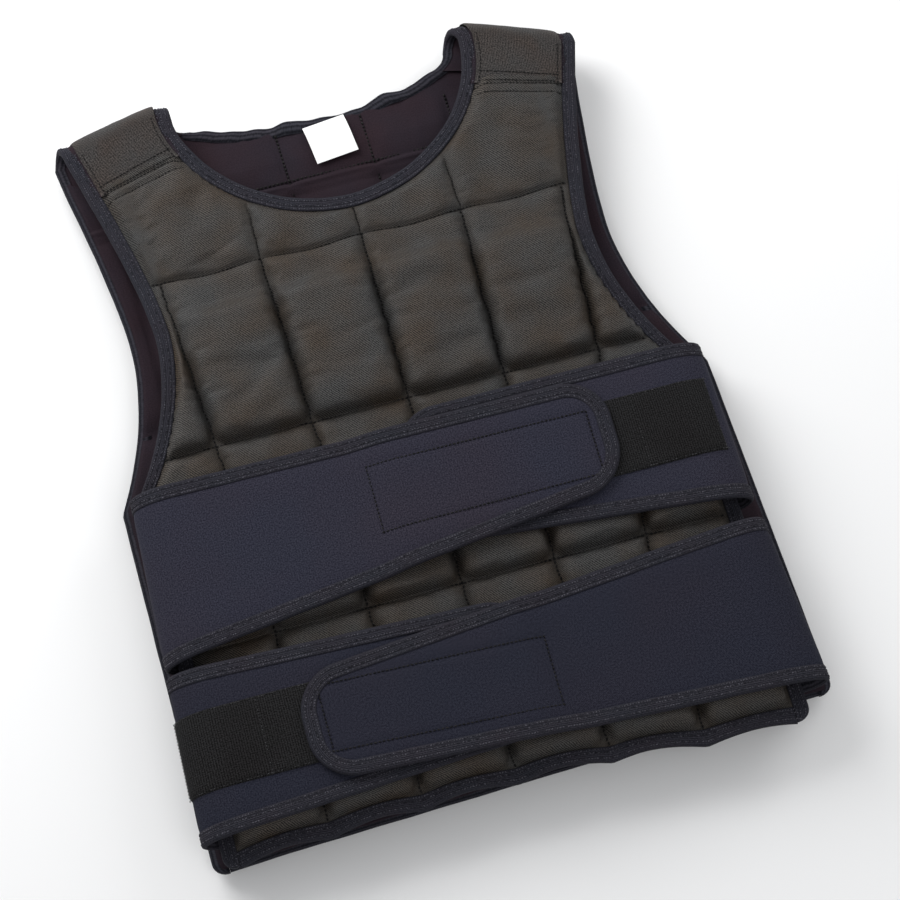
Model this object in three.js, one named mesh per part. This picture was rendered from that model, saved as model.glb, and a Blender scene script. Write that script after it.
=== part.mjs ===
// A weighted vest that lies on its back with the front up. Millimetres, +X to the viewer's
// right, +Y from the hem to the shoulders, +Z up from the surface it lies on.
// Left and right are the viewer's. Heights along the vest are measured from the hem.
import * as THREE from 'three';

const { clamp, degToRad, lerp } = THREE.MathUtils;

// Whole vest
const vestLength = 638;
const clearance = 0.3;
const panelThickness = 4;
const hollowHeight = 17.7;

// Bound edges
const bindingWidth = 12;
const bindingThickness = 5.4;
const hemCornerRadius = 10;

// Front panel
const frontHemHalf = 230;
const frontUnderarmHalf = 224;
const frontUnderarm = 304;
const frontWaistHalf = 181;
const frontWaistAt = 430;
const frontShoulderHalf = 216;
const frontTopShift = -2;
const frontHemArch = 7;
const frontSideDroop = 4;

// Back panel
const backHemHalf = 248;
const backUnderarmHalf = 242;
const backUnderarm = 300;
const backWaistHalf = 200;
const backWaistAt = 440;
const backShoulderHalf = 220;
const backHemShift = 9;
const backTopShift = -8;
const backHemRise = 10;
const backHemTurn = 0.028;
const backSideDroop = 7;

// Neckline
const frontNeckHalf = 123;
const frontNeckDepth = 111;
const backNeckHalf = 116;
const backNeckDepth = 28;
const neckPower = 1.9;

// Shoulder straps
const strapThickness = 8;
const coverThickness = 2;
const shoulderDrop = 26;
const strapTurnLeft = 0.14;
const strapTurnRight = -0.03;
const frontCoverDepthInner = 61;
const frontCoverDepthOuter = 54;
const backCoverDepth = 34;

// Front weight pockets
const pocketRows = 3;
const pocketColumns = 6;
const pocketPitch = 73;
const pocketPitchSpread = 10.5;
const firstCrease = 168;
const rowPitch = 158;
const topSeam = 472;
const pocketDepth = 16;
const pocketGap = 1.6;
const seamThickness = 1.2;
const sidePocketTop = 400;
const yokeDepth = 5;

// Back weight pockets
const backRows = 3;
const backColumns = 5;
const backPitch = 74;
const backPocketHeight = 157;
const backRowPitch = 174;
const backPocketDepth = 16;

// Belts and their loop strips
const beltThickness = 4;
const beltFold = 234;
const beltRootFrom = 190;
const beltFoldInRadius = 22;
const beltFoldOutRadius = 31;
const tabReach = 146;
const tabRadius = 34;
const underBeltEnd = 20;
const beltRampLength = 40;
const loopWidth = 62;
const loopThickness = 1.5;
const loopFrom = 6;
const loopEnd = 60;

// Label at the back of the neck
const labelWidth = 36;
const labelLength = 37;
const labelThickness = 0.8;
const labelAcross = 3;
const labelTilt = degToRad(6);

// Heights of the layers above the surface that the vest lies on
const halfPanel = panelThickness / 2;
const backLevel = backPocketDepth + clearance + halfPanel;
const frontLevel = backLevel + panelThickness + hollowHeight;
const pocketBase = halfPanel + clearance;
const beltLevel = frontLevel + pocketBase + pocketDepth + clearance + beltThickness / 2;
const overBeltLevel = beltLevel + beltThickness + loopThickness + 2 * clearance;
const beltRootLevel = backLevel + pocketBase + beltThickness / 2;

// The fold of each strap: half a turn from the front level to the back level
const foldRadius = (frontLevel - backLevel) / 2;
const foldLevel = (frontLevel + backLevel) / 2;
const foldReach = foldRadius + strapThickness / 2 + clearance + coverThickness;
const innerFold = vestLength - foldReach;
const outerFold = innerFold - shoulderDrop;
const edgeInset = bindingWidth + clearance;

// The two panels. Hem shift and top shift move a panel sideways at its two ends. Hem arch
// lifts the middle of its hem, hem rise all of it, and hem turn lifts it towards the right.
const frontShape = {
  hemHalf: frontHemHalf,
  underarmHalf: frontUnderarmHalf,
  underarm: frontUnderarm,
  waist: frontWaistHalf,
  waistAt: frontWaistAt,
  shoulder: frontShoulderHalf,
  neckHalf: frontNeckHalf,
  neckDepth: frontNeckDepth,
  seamInner: vestLength - frontCoverDepthInner,
  seamOuter: vestLength - shoulderDrop - frontCoverDepthOuter,
  rowDrop: 0,
  level: frontLevel,
  sideDroop: frontSideDroop,
  hemShift: 0,
  topShift: frontTopShift,
  shiftPower: 3,
  hemArch: frontHemArch,
  hemRise: 0,
  hemTurn: 0,
  hemLiftEnd: firstCrease,
  face: 1,
};

const backShape = {
  hemHalf: backHemHalf,
  underarmHalf: backUnderarmHalf,
  underarm: backUnderarm,
  waist: backWaistHalf,
  waistAt: backWaistAt,
  shoulder: backShoulderHalf,
  neckHalf: backNeckHalf,
  neckDepth: backNeckDepth,
  seamInner: vestLength - backCoverDepth,
  seamOuter: vestLength - shoulderDrop - backCoverDepth,
  rowDrop: 20,
  level: backLevel,
  sideDroop: backSideDroop,
  hemShift: backHemShift,
  topShift: backTopShift,
  shiftPower: 1,
  hemArch: 0,
  hemRise: backHemRise,
  hemTurn: backHemTurn,
  hemLiftEnd: backWaistAt,
  face: -1,
};

function fabric(color, roughness) {
  return new THREE.MeshStandardMaterial({ color, roughness, metalness: 0 });
}

const nylon = fabric(0x3b3937, 0.75);
const lining = fabric(0x28222a, 0.85);
const neoprene = fabric(0x272a3a, 0.9);
const tape = fabric(0x2a2930, 0.85);
const loopCloth = fabric(0x151516, 0.95);
const brushedCloth = fabric(0x4a4540, 0.95);
const labelCloth = fabric(0xe8e8e6, 0.7);

// Even steps from one value to another, both ends included
function spread(from, to, steps) {
  return Array.from({ length: steps + 1 }, (_, step) => lerp(from, to, step / steps));
}

function point(across, height, level) {
  return new THREE.Vector3(across, height - vestLength / 2, level);
}

// A mesh from corner points and triangles, with its faces turned outwards
function closedMesh(name, corners, triangles, material) {
  let volume = 0;
  for (const [a, b, c] of triangles) {
    volume += corners[a].dot(new THREE.Vector3().crossVectors(corners[b], corners[c]));
  }
  const faces = volume < 0 ? triangles.map(([a, b, c]) => [a, c, b]) : triangles;
  const geometry = new THREE.BufferGeometry();
  const numbers = corners.flatMap((corner) => corner.toArray());
  geometry.setAttribute('position', new THREE.Float32BufferAttribute(numbers, 3));
  geometry.setIndex(faces.flat());
  geometry.computeVertexNormals();
  const mesh = new THREE.Mesh(geometry, material);
  mesh.name = name;
  return mesh;
}

// A closed skin over blocks of cells. Each cell corner has an outer and an inner point,
// and the open edges of the blocks get a wall.
function skin(name, blocks, material) {
  const cellCorners = [...new Set(blocks.flat(2))];
  const place = new Map(cellCorners.map((corner, index) => [corner, index]));
  const count = cellCorners.length;
  const triangles = [];
  const edges = new Map();
  for (const rows of blocks) {
    for (let row = 0; row < rows.length - 1; row += 1) {
      for (let column = 0; column < rows[row].length - 1; column += 1) {
        const cell = [
          rows[row][column],
          rows[row][column + 1],
          rows[row + 1][column + 1],
          rows[row + 1][column],
        ].map((corner) => place.get(corner));
        const [a, b, c, d] = cell;
        triangles.push([a, b, c], [a, c, d]);
        triangles.push([a + count, c + count, b + count], [a + count, d + count, c + count]);
        cell.forEach((from, index) => {
          const to = cell[(index + 1) % 4];
          if (!edges.delete(`${to},${from}`)) {
            edges.set(`${from},${to}`, [from, to]);
          }
        });
      }
    }
  }
  for (const [from, to] of edges.values()) {
    triangles.push([to, from, from + count], [to, from + count, to + count]);
  }
  const corners = [...cellCorners.map((c) => c.outer), ...cellCorners.map((c) => c.inner)];
  return closedMesh(name, corners, triangles, material);
}

// A band of four-sided section along stations that each give its two edges and its face normal
function band(name, stations, thickness, isRing, material) {
  const corners = [];
  const triangles = [];
  for (const { rim, root, normal } of stations) {
    const up = normal.clone().multiplyScalar(thickness / 2);
    corners.push(rim.clone().add(up), root.clone().add(up), root.clone().sub(up), rim.clone().sub(up));
  }
  const spans = isRing ? stations.length : stations.length - 1;
  for (let span = 0; span < spans; span += 1) {
    const here = span * 4;
    const there = ((span + 1) % stations.length) * 4;
    for (let side = 0; side < 4; side += 1) {
      const next = (side + 1) % 4;
      triangles.push([here + side, here + next, there + next], [here + side, there + next, there + side]);
    }
  }
  if (!isRing) {
    const last = corners.length - 4;
    triangles.push([2, 1, 0], [3, 2, 0], [last, last + 1, last + 2], [last, last + 2, last + 3]);
  }
  return closedMesh(name, corners, triangles, material);
}

// Outline of a panel

// Half width at a height: straight side, armhole curving in to its waist, then out to the shoulder
function halfWidth(shape, height) {
  if (height <= shape.underarm) {
    const side = lerp(shape.hemHalf, shape.underarmHalf, height / shape.underarm);
    const rise = Math.max(hemCornerRadius - height, 0);
    return side - hemCornerRadius + Math.sqrt(hemCornerRadius ** 2 - rise ** 2);
  }
  if (height <= shape.waistAt) {
    const share = (height - shape.underarm) / (shape.waistAt - shape.underarm);
    return lerp(shape.waist, shape.underarmHalf, (1 - share) ** 2);
  }
  const share = (height - shape.waistAt) / (outerFold - shape.waistAt);
  return lerp(shape.waist, shape.shoulder, Math.max(share, 0) ** 1.4);
}

// A point of the neckline, by its angle from the lowest point, moved outwards by inset
function neckPoint(shape, angle, inset) {
  const power = 2 / neckPower;
  return {
    across: (shape.neckHalf + inset) * Math.sin(angle) ** power,
    height: innerFold - (shape.neckDepth + inset) * Math.cos(angle) ** power,
  };
}

// Half width of the neckline at a height, or nothing below it
function neckHalfAt(shape, height, inset) {
  const share = clamp((innerFold - height) / (shape.neckDepth + inset), 0, 1);
  return (shape.neckHalf + inset) * (1 - share ** neckPower) ** (1 / neckPower);
}

// Height of the neckline at a distance from the middle
function neckHeightAt(shape, across, inset) {
  const share = clamp(across / (shape.neckHalf + inset), 0, 1);
  return innerFold - (shape.neckDepth + inset) * (1 - share ** neckPower) ** (1 / neckPower);
}

// Angle of the neckline where the strap is sewn on
function seamAngle(shape, gap) {
  const share = (innerFold - shape.seamInner + gap) / (shape.neckDepth + edgeInset);
  return Math.acos(clamp(share, 0, 1) ** (neckPower / 2));
}

// Distance of a quilting seam of the front from the middle
function frontSeam(index, height) {
  return index * (pocketPitch + pocketPitchSpread * (height / topSeam) ** 2);
}

function backSeam(index) {
  return index * backPitch;
}

// Where the side of a panel starts to droop: its outermost quilting seam
function droopFrom(shape, height) {
  return shape.face > 0 ? frontSeam(2, height) : backSeam(backColumns / 2);
}

// Level of the middle of a panel. The sides droop, less and less up the armhole.
function panelLevel(shape, across, height) {
  const start = droopFrom(shape, height);
  const fade = 1 - clamp((height - shape.underarm) / (shape.waistAt - shape.underarm), 0, 1);
  const share = Math.max(across - start, 0) / (shape.hemHalf - start);
  return shape.level - shape.sideDroop * share * fade;
}

// How far a panel lies to the right of the middle at a height
function panelShift(shape, height) {
  return lerp(shape.hemShift, shape.topShift, clamp(height / innerFold, 0, 1) ** shape.shiftPower);
}

// A point of the middle of a panel, by its distance from the middle, its side and its height
function panelPoint(shape, side, across, height) {
  const arch = shape.hemArch * (1 - (across / shape.hemHalf) ** 2);
  const lift = arch + shape.hemRise + shape.hemTurn * side * across;
  const up = height + lift * clamp(1 - height / shape.hemLiftEnd, 0, 1);
  return point(side * across + panelShift(shape, height), up, panelLevel(shape, across, height));
}

// Distances of the columns of cells of a panel from the middle, at a height
const halfColumns = 6;
function columnAcross(shape, column, height) {
  const edge = halfWidth(shape, height) - edgeInset;
  if (column === halfColumns) {
    return edge;
  }
  if (shape.face < 0) {
    return backSeam(column / 2);
  }
  return column < halfColumns - 1 ? frontSeam(column / 2, height) : (frontSeam(2, height) + edge) / 2;
}

// Heights of the rows of cells of a panel below its neckline
const sideSteps = 5;
const armholeSteps = 5;
const chestSteps = 3;
const neckSteps = 5;
function neckBottom(shape) {
  return innerFold - shape.neckDepth - edgeInset;
}
function rowHeights(shape) {
  return [
    ...spread(edgeInset, shape.underarm, sideSteps),
    ...spread(shape.underarm, shape.waistAt, armholeSteps).slice(1),
    ...spread(shape.waistAt, neckBottom(shape), chestSteps).slice(1),
  ];
}

// Rows near the neckline bend down towards the armhole, as the shoulder seam does
function droppedHeight(shape, height, share) {
  const rise = clamp((height - shape.waistAt) / (neckBottom(shape) - shape.waistAt), 0, 1);
  return height - shape.rowDrop * rise * share ** 2;
}

// Rows beside the neckline: the inner end follows the neckline, the outer end the armhole
function shoulderRows(shape) {
  const last = seamAngle(shape, clearance);
  const outerStart = droppedHeight(shape, neckBottom(shape), 1);
  return spread(0, 1, neckSteps).slice(1).map((share) => ({
    angle: last * share,
    outer: lerp(outerStart, shape.seamOuter - clearance, share),
  }));
}

function sheetCorner(middle, normal, outer, inner) {
  return {
    outer: middle.clone().addScaledVector(normal, outer),
    inner: middle.clone().addScaledVector(normal, -inner),
  };
}

function panel(name, shape, material) {
  const normal = new THREE.Vector3(0, 0, shape.face);
  const corner = (side, across, height) => (
    sheetCorner(panelPoint(shape, side, across, height), normal, halfPanel, halfPanel)
  );
  const body = rowHeights(shape).map((height) => {
    const row = [];
    for (let column = -halfColumns; column <= halfColumns; column += 1) {
      const index = Math.abs(column);
      const at = droppedHeight(shape, height, index / halfColumns);
      row.push(corner(Math.sign(column), columnAcross(shape, index, at), at));
    }
    return row;
  });
  const neckRow = body[body.length - 1];
  const shoulders = [-1, 1].map((side) => {
    const firstRow = side > 0 ? neckRow.slice(halfColumns) : neckRow.slice(0, halfColumns + 1).reverse();
    const rowEnd = columnAcross(shape, halfColumns, droppedHeight(shape, neckBottom(shape), 1));
    const rows = shoulderRows(shape).map(({ angle, outer }) => {
      const inner = neckPoint(shape, angle, edgeInset);
      const outerAcross = halfWidth(shape, outer) - edgeInset;
      return spread(0, halfColumns, halfColumns).map((column) => {
        const share = columnAcross(shape, column, neckBottom(shape)) / rowEnd;
        const part = column === halfColumns ? 1 : share;
        return corner(side, lerp(inner.across, outerAcross, part), lerp(inner.height, outer, part));
      });
    });
    const block = [firstRow, ...rows];
    return side > 0 ? block : block.map((row) => [...row].reverse());
  });
  return skin(name, [body, ...shoulders], material);
}

// Pockets and pads

// Rise of a stuffed cell over its width or height: steep at the seams, flat over the weight in it
const crownFullness = 1.4;
function crown(share) {
  return Math.min(1, crownFullness * Math.sqrt(1 - Math.abs(2 * share - 1) ** 4));
}

// A stuffed cell on the outer face of a panel
function stuffedCell(name, shape, side, bounds, grid, depth, material) {
  const normal = new THREE.Vector3(0, 0, shape.face);
  const rows = grid.up.map((up) => grid.across.map((share) => {
    const { across, height, fill } = bounds(share, up);
    const base = panelPoint(shape, side, across, height).addScaledVector(normal, pocketBase);
    const rise = seamThickness + (depth - seamThickness) * fill * crown(share) * crown(up);
    return sheetCorner(base, normal, rise, 0);
  }));
  return skin(name, [rows], material);
}

const pocketGrid = {
  across: [0, 0.1, 0.3, 0.7, 0.9, 1],
  up: [0, 0.05, 0.17, 0.5, 0.83, 0.95, 1],
};
const backPocketGrid = {
  across: [0, 0.14, 0.86, 1],
  up: [0, 0.09, 0.91, 1],
};
const padGrid = {
  across: [0, 0.12, 0.35, 0.65, 0.88, 1],
  up: [0, 0.1, 0.3, 0.55, 0.8, 1],
};

// A front pocket counted outwards from the middle, 0 to 2
function frontPocket(name, row, side, index) {
  const crease = firstCrease + row * rowPitch;
  const isTop = row === pocketRows - 1;
  const bottom = row === 0 ? edgeInset : crease - rowPitch + pocketGap / 2;
  const sideTop = isTop && index === 2 ? sidePocketTop : topSeam - pocketGap / 2;
  const top = isTop ? sideTop : crease - pocketGap / 2;
  const bounds = (share, up) => {
    const height = lerp(bottom, top, up);
    const inner = frontSeam(index, height) + pocketGap / 2;
    const edge = halfWidth(frontShape, height) - bindingWidth - pocketGap / 2;
    const outer = index < 2 ? frontSeam(index + 1, height) - pocketGap / 2 : edge;
    const fill = clamp((outer - inner) / (pocketPitch / 2), 0, 1);
    return { across: lerp(inner, outer, share), height, fill };
  };
  return stuffedCell(name, frontShape, side, bounds, pocketGrid, pocketDepth, nylon);
}

// The pads of the yoke start above the top row of pockets and end at the neckline and the straps
const yokeBottom = topSeam + pocketGap / 2;
const yokeInset = bindingWidth + pocketGap;

function middleYokePad(name, side) {
  const outerEdge = frontSeam(1, yokeBottom) - pocketGap / 2;
  const bounds = (share, up) => {
    const across = lerp(pocketGap / 2, outerEdge, share);
    return { across, height: lerp(yokeBottom, neckHeightAt(frontShape, across, yokeInset), up), fill: 1 };
  };
  return stuffedCell(name, frontShape, side, bounds, padGrid, yokeDepth, nylon);
}

function outerYokePad(name, side) {
  const innerTop = frontShape.seamInner - pocketGap;
  const outerTop = frontShape.seamOuter - pocketGap;
  const bounds = (share, up) => {
    const innerHeight = lerp(yokeBottom, innerTop, up);
    const outerHeight = lerp(yokeBottom, outerTop, up);
    const seam = frontSeam(1, innerHeight) + pocketGap / 2;
    const inner = Math.max(seam, neckHalfAt(frontShape, innerHeight, yokeInset));
    const outer = halfWidth(frontShape, outerHeight) - yokeInset;
    return { across: lerp(inner, outer, share), height: lerp(innerHeight, outerHeight, share), fill: 1 };
  };
  return stuffedCell(name, frontShape, side, bounds, padGrid, yokeDepth, nylon);
}

// A back pocket by its signed column from the middle
function backPocket(name, row, column) {
  const bottom = bindingWidth + clearance + row * backRowPitch;
  const side = column < 0 ? -1 : 1;
  const bounds = (share, up) => {
    const across = Math.abs(column) * backPitch + (share - 0.5) * (backPitch - pocketGap);
    return { across, height: bottom + backPocketHeight * up, fill: 1 };
  };
  return stuffedCell(name, backShape, side, bounds, backPocketGrid, backPocketDepth, lining);
}

// Straps, their covers and the bindings

const strapArmSteps = 2;
const strapBendSteps = 8;

// The two shoulders. Turn is how much the fold of the strap climbs towards the armhole.
const shoulders = [
  { word: 'left', side: -1, turn: strapTurnLeft },
  { word: 'right', side: 1, turn: strapTurnRight },
];
const turnPivot = lerp(frontNeckHalf, frontShoulderHalf, 0.5);

// An edge point of a strap. Its share says how far it is from the seam to the fold.
function strapPoint({ side, turn }, share, across, shift, height, level) {
  return point(side * across + shift, height + turn * (across - turnPivot) * share, level);
}

// Both edges of a strap at a share of the way from its seam to the start of the fold
function armStation(shoulder, shape, share, inset) {
  const inner = neckPoint(shape, lerp(seamAngle(shape, 0), Math.PI / 2, share), inset);
  const outer = lerp(shape.seamOuter, outerFold, share);
  const place = (across, height) => (
    strapPoint(shoulder, share, across, panelShift(shape, height), height, shape.level)
  );
  return {
    inner: place(inner.across, inner.height),
    outer: place(halfWidth(shape, outer) - inset, outer),
    normal: new THREE.Vector3(0, 0, shape.face),
  };
}

// Both edges of a strap at a share of the way round its fold
function bendStation(shoulder, share, inset) {
  const angle = share * Math.PI;
  const forward = foldRadius * Math.sin(angle);
  const level = foldLevel + foldRadius * Math.cos(angle);
  const place = (frontAcross, backAcross, height) => {
    const shift = lerp(panelShift(frontShape, height), panelShift(backShape, height), share);
    return strapPoint(shoulder, 1, lerp(frontAcross, backAcross, share), shift, height + forward, level);
  };
  return {
    inner: place(frontNeckHalf + inset, backNeckHalf + inset, innerFold),
    outer: place(frontShoulderHalf - inset, backShoulderHalf - inset, outerFold),
    normal: new THREE.Vector3(0, Math.sin(angle), Math.cos(angle)),
  };
}

function strapStations(shoulder, inset) {
  return [
    ...spread(0, 1, strapArmSteps).map((share) => armStation(shoulder, frontShape, share, inset)),
    ...spread(0, 1, strapBendSteps).slice(1, -1).map((share) => bendStation(shoulder, share, inset)),
    ...spread(1, 0, strapArmSteps).map((share) => armStation(shoulder, backShape, share, inset)),
  ];
}

// A layer of a strap between two distances from the middle of its thickness
function strapLayer(name, shoulder, from, to, material) {
  const rows = strapStations(shoulder, edgeInset).map(({ inner, outer, normal }) => (
    spread(0, 1, 3).map((share) => sheetCorner(inner.clone().lerp(outer, share), normal, to, -from))
  ));
  return skin(name, [rows], material);
}

function neckStations() {
  const neckline = (shape) => {
    const last = seamAngle(shape, clearance);
    return spread(-last, last, 2 * neckSteps).map((angle) => {
      const side = angle < 0 ? -1 : 1;
      const rim = neckPoint(shape, Math.abs(angle), 0);
      const root = neckPoint(shape, Math.abs(angle), bindingWidth);
      return {
        rim: point(side * rim.across + panelShift(shape, rim.height), rim.height, shape.level),
        root: point(side * root.across + panelShift(shape, rim.height), root.height, shape.level),
        normal: new THREE.Vector3(0, 0, shape.face),
      };
    });
  };
  const overStrap = (shoulder) => {
    const roots = strapStations(shoulder, bindingWidth);
    return strapStations(shoulder, 0).map(({ inner, normal }, index) => ({
      rim: inner,
      root: roots[index].inner,
      normal,
    }));
  };
  const [left, right] = shoulders;
  return [
    ...neckline(frontShape),
    ...overStrap(right),
    ...neckline(backShape).reverse(),
    ...overStrap(left).reverse(),
  ];
}

function sideStations(shoulder) {
  const edge = (shape) => {
    const heights = [
      ...spread(0, hemCornerRadius, 3),
      ...rowHeights(shape).map((height) => droppedHeight(shape, height, 1)),
      ...shoulderRows(shape).map(({ outer }) => outer),
    ];
    return heights.map((height) => {
      const rim = halfWidth(shape, height);
      const root = halfWidth(shape, Math.max(height, edgeInset)) - bindingWidth;
      return {
        rim: panelPoint(shape, shoulder.side, rim, height),
        root: panelPoint(shape, shoulder.side, root, height),
        normal: new THREE.Vector3(0, 0, shape.face),
      };
    });
  };
  const roots = strapStations(shoulder, bindingWidth);
  const overStrap = strapStations(shoulder, 0).map(({ outer, normal }, index) => ({
    rim: outer,
    root: roots[index].outer,
    normal,
  }));
  return [...edge(frontShape), ...overStrap, ...edge(backShape).reverse()];
}

function hemStations(shape) {
  const last = halfWidth(shape, edgeInset) - edgeInset;
  return spread(-last, last, 2 * halfColumns).map((across) => {
    const side = across < 0 ? -1 : 1;
    return {
      rim: panelPoint(shape, side, Math.abs(across), 0),
      root: panelPoint(shape, side, Math.abs(across), bindingWidth),
      normal: new THREE.Vector3(0, 0, shape.face),
    };
  });
}

// Belts

// The four belt pieces. An over piece lies on the other one's end. Low and high are the heights
// of the two edges at the fold, and outLow and outHigh are how far the fold stands out at each
// edge, all as shares of the vest's length. LowTilt and highTilt are how much the edges rise on
// the way to the tab, per length.
const beltPieces = [
  {
    name: 'upper_belt_left', side: -1, isOver: true,
    low: 0.2492, lowTilt: 0.127, outLow: 0.0016, high: 0.4718, highTilt: -0.01, outHigh: -0.0063,
  },
  {
    name: 'upper_belt_right', side: 1, isOver: false,
    low: 0.2712, lowTilt: 0.1, outLow: 0.0031, high: 0.4843, highTilt: 0, outHigh: -0.0031,
  },
  {
    name: 'lower_belt_right', side: 1, isOver: true,
    low: 0.0313, lowTilt: 0.052, outLow: 0.0235, high: 0.2476, highTilt: -0.09, outHigh: 0.0063,
  },
  {
    name: 'lower_belt_left', side: -1, isOver: false,
    low: 0.0313, lowTilt: 0.055, outLow: 0.0094, high: 0.2414, highTilt: -0.04, outHigh: 0.0031,
  },
];
const foldMiddle = (beltRootLevel + beltLevel) / 2;

// The route of a belt from its root on the back panel, round the side and over the front,
// seen from the hem, with the belt's own side as the positive one
function beltRoute(isOver) {
  const route = [{ across: beltRootFrom, level: beltRootLevel }];
  const lowCentre = beltFold - beltFoldInRadius;
  for (const angle of spread(-Math.PI / 2, 0, 4)) {
    route.push({
      across: lowCentre + beltFoldInRadius * Math.cos(angle),
      level: foldMiddle + (foldMiddle - beltRootLevel) * Math.sin(angle),
    });
  }
  const highCentre = beltFold - beltFoldOutRadius;
  for (const angle of spread(0, Math.PI / 2, 5).slice(1)) {
    route.push({
      across: highCentre + beltFoldOutRadius * Math.cos(angle),
      level: foldMiddle + (beltLevel - foldMiddle) * Math.sin(angle),
    });
  }
  const rampStart = underBeltEnd + beltRampLength / 8;
  const end = isOver ? -tabReach : underBeltEnd;
  if (isOver) {
    for (const share of spread(0, 1, 4)) {
      route.push({
        across: rampStart - beltRampLength * (share - 1),
        level: lerp(beltLevel, overBeltLevel, share * share * (3 - 2 * share)),
      });
    }
  }
  for (const angle of spread(0, Math.PI / 2, 5)) {
    route.push({
      across: end + tabRadius * (1 - Math.sin(angle)),
      level: isOver ? overBeltLevel : beltLevel,
      rounding: tabRadius * (1 - Math.cos(angle)),
    });
  }
  return route;
}

// Stations of a belt: its place, its outward normal, and the height and outward shift of its edges
const foldFrom = 150;
function beltStations(piece) {
  const route = beltRoute(piece.isOver);
  return route.map(({ across, level, rounding = 0 }, index) => {
    const before = route[Math.max(index - 1, 0)];
    const after = route[Math.min(index + 1, route.length - 1)];
    const run = after.across - before.across;
    const climb = after.level - before.level;
    const length = Math.hypot(run, climb);
    const reach = index > 4 ? beltFold - across : 0;
    const outward = clamp((across - foldFrom) / (beltFold - foldFrom), 0, 1);
    return {
      across,
      level,
      normalAcross: climb / length,
      normalUp: -run / length,
      low: piece.low * vestLength + piece.lowTilt * reach + rounding,
      high: piece.high * vestLength + piece.highTilt * reach - rounding,
      outLow: piece.outLow * vestLength * outward,
      outHigh: piece.outHigh * vestLength * outward,
    };
  });
}

// A strip between two offsets from the middle of a belt and between two heights
function beltStrip(name, side, stations, from, to, material) {
  const rows = stations.map((station) => spread(0, 1, 2).map((share) => {
    const across = station.across + lerp(station.outLow, station.outHigh, share);
    const middle = point(side * across, lerp(station.low, station.high, share), station.level);
    const normal = new THREE.Vector3(side * station.normalAcross, 0, station.normalUp);
    return sheetCorner(middle, normal, to, -from);
  }));
  return skin(name, [rows], material);
}

function belt(piece) {
  const half = beltThickness / 2;
  return beltStrip(piece.name, piece.side, beltStations(piece), -half, half, neoprene);
}

// The loop strip of an under piece, from near the fold to below the other piece's tab
function loopStrip(name, piece) {
  const from = beltThickness / 2 + clearance;
  const reach = (beltFold - loopEnd) / 2;
  const rise = (piece.lowTilt + piece.highTilt) * reach;
  const middle = ((piece.low + piece.high) * vestLength + rise) / 2;
  const isOnTop = ({ across, level }) => level > foldMiddle && across < beltFold - loopFrom;
  const stations = beltStations(piece)
    .filter((station) => isOnTop(station) && station.across > loopEnd)
    .map((station) => ({ ...station, low: middle - loopWidth / 2, high: middle + loopWidth / 2 }));
  const last = stations[stations.length - 1];
  stations.push({ ...last, across: loopEnd, normalAcross: 0, normalUp: 1 });
  return beltStrip(name, piece.side, stations, from, from + loopThickness, loopCloth);
}

// A plain label sewn to the middle of the back neckline
function neckLabel() {
  const top = neckHeightAt(backShape, 0, bindingWidth / 2);
  const level = backLevel + bindingThickness / 2 + clearance;
  const up = new THREE.Vector3(0, 0, 1);
  const pivot = point(labelAcross + panelShift(backShape, top), top, level);
  const corner = (across, down) => {
    const middle = new THREE.Vector3(across, down, 0).applyAxisAngle(up, labelTilt).add(pivot);
    return sheetCorner(middle, up, labelThickness, 0);
  };
  const columns = spread(-labelWidth / 2, labelWidth / 2, 2);
  const rows = spread(-labelLength, 0, 2).map((down) => columns.map((across) => corner(across, down)));
  return skin('neck_label', [rows], labelCloth);
}

const vest = new THREE.Group();
vest.add(panel('front_panel', frontShape, lining));
vest.add(panel('back_panel', backShape, lining));

for (let row = 0; row < pocketRows; row += 1) {
  for (const { word, side } of shoulders) {
    for (let index = 0; index < pocketColumns / 2; index += 1) {
      vest.add(frontPocket(`front_pocket_row${row + 1}_${word}${index + 1}`, row, side, index));
    }
  }
}
for (const { word, side } of shoulders) {
  vest.add(middleYokePad(`yoke_pad_middle_${word}`, side));
  vest.add(outerYokePad(`yoke_pad_outer_${word}`, side));
}
for (let row = 0; row < backRows; row += 1) {
  for (let column = 0; column < backColumns; column += 1) {
    vest.add(backPocket(`back_pocket_row${row + 1}_${column + 1}`, row, column - (backColumns - 1) / 2));
  }
}

const strapFace = strapThickness / 2;
const coverFace = strapFace + clearance;
const coverTop = coverFace + coverThickness;
for (const shoulder of shoulders) {
  const { word } = shoulder;
  vest.add(strapLayer(`shoulder_strap_${word}`, shoulder, -strapFace, strapFace, lining));
  vest.add(strapLayer(`shoulder_cover_${word}`, shoulder, coverFace, coverTop, brushedCloth));
  vest.add(band(`side_binding_${word}`, sideStations(shoulder), bindingThickness, false, tape));
}
vest.add(band('neck_binding', neckStations(), bindingThickness, true, tape));
vest.add(band('front_hem_binding', hemStations(frontShape), bindingThickness, false, tape));
vest.add(band('back_hem_binding', hemStations(backShape), bindingThickness, false, tape));

for (const piece of beltPieces) {
  vest.add(belt(piece));
}
vest.add(loopStrip('upper_loop_strip', beltPieces[1]));
vest.add(loopStrip('lower_loop_strip', beltPieces[3]));
vest.add(neckLabel());

// The vest lies with the middle of its box over the origin
vest.position.x = -new THREE.Box3().setFromObject(vest).getCenter(new THREE.Vector3()).x;

export default vest;
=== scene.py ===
"""A weighted vest that lies on its back, front up, on a pale studio floor.

Sizes are in millimetres until a mesh is made. Heights along the vest count from its hem, and
left and right are the viewer's.
"""

import math

import bpy
import numpy as np
from mathutils import Matrix, Vector, noise
from mathutils.bvhtree import BVHTree


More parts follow.
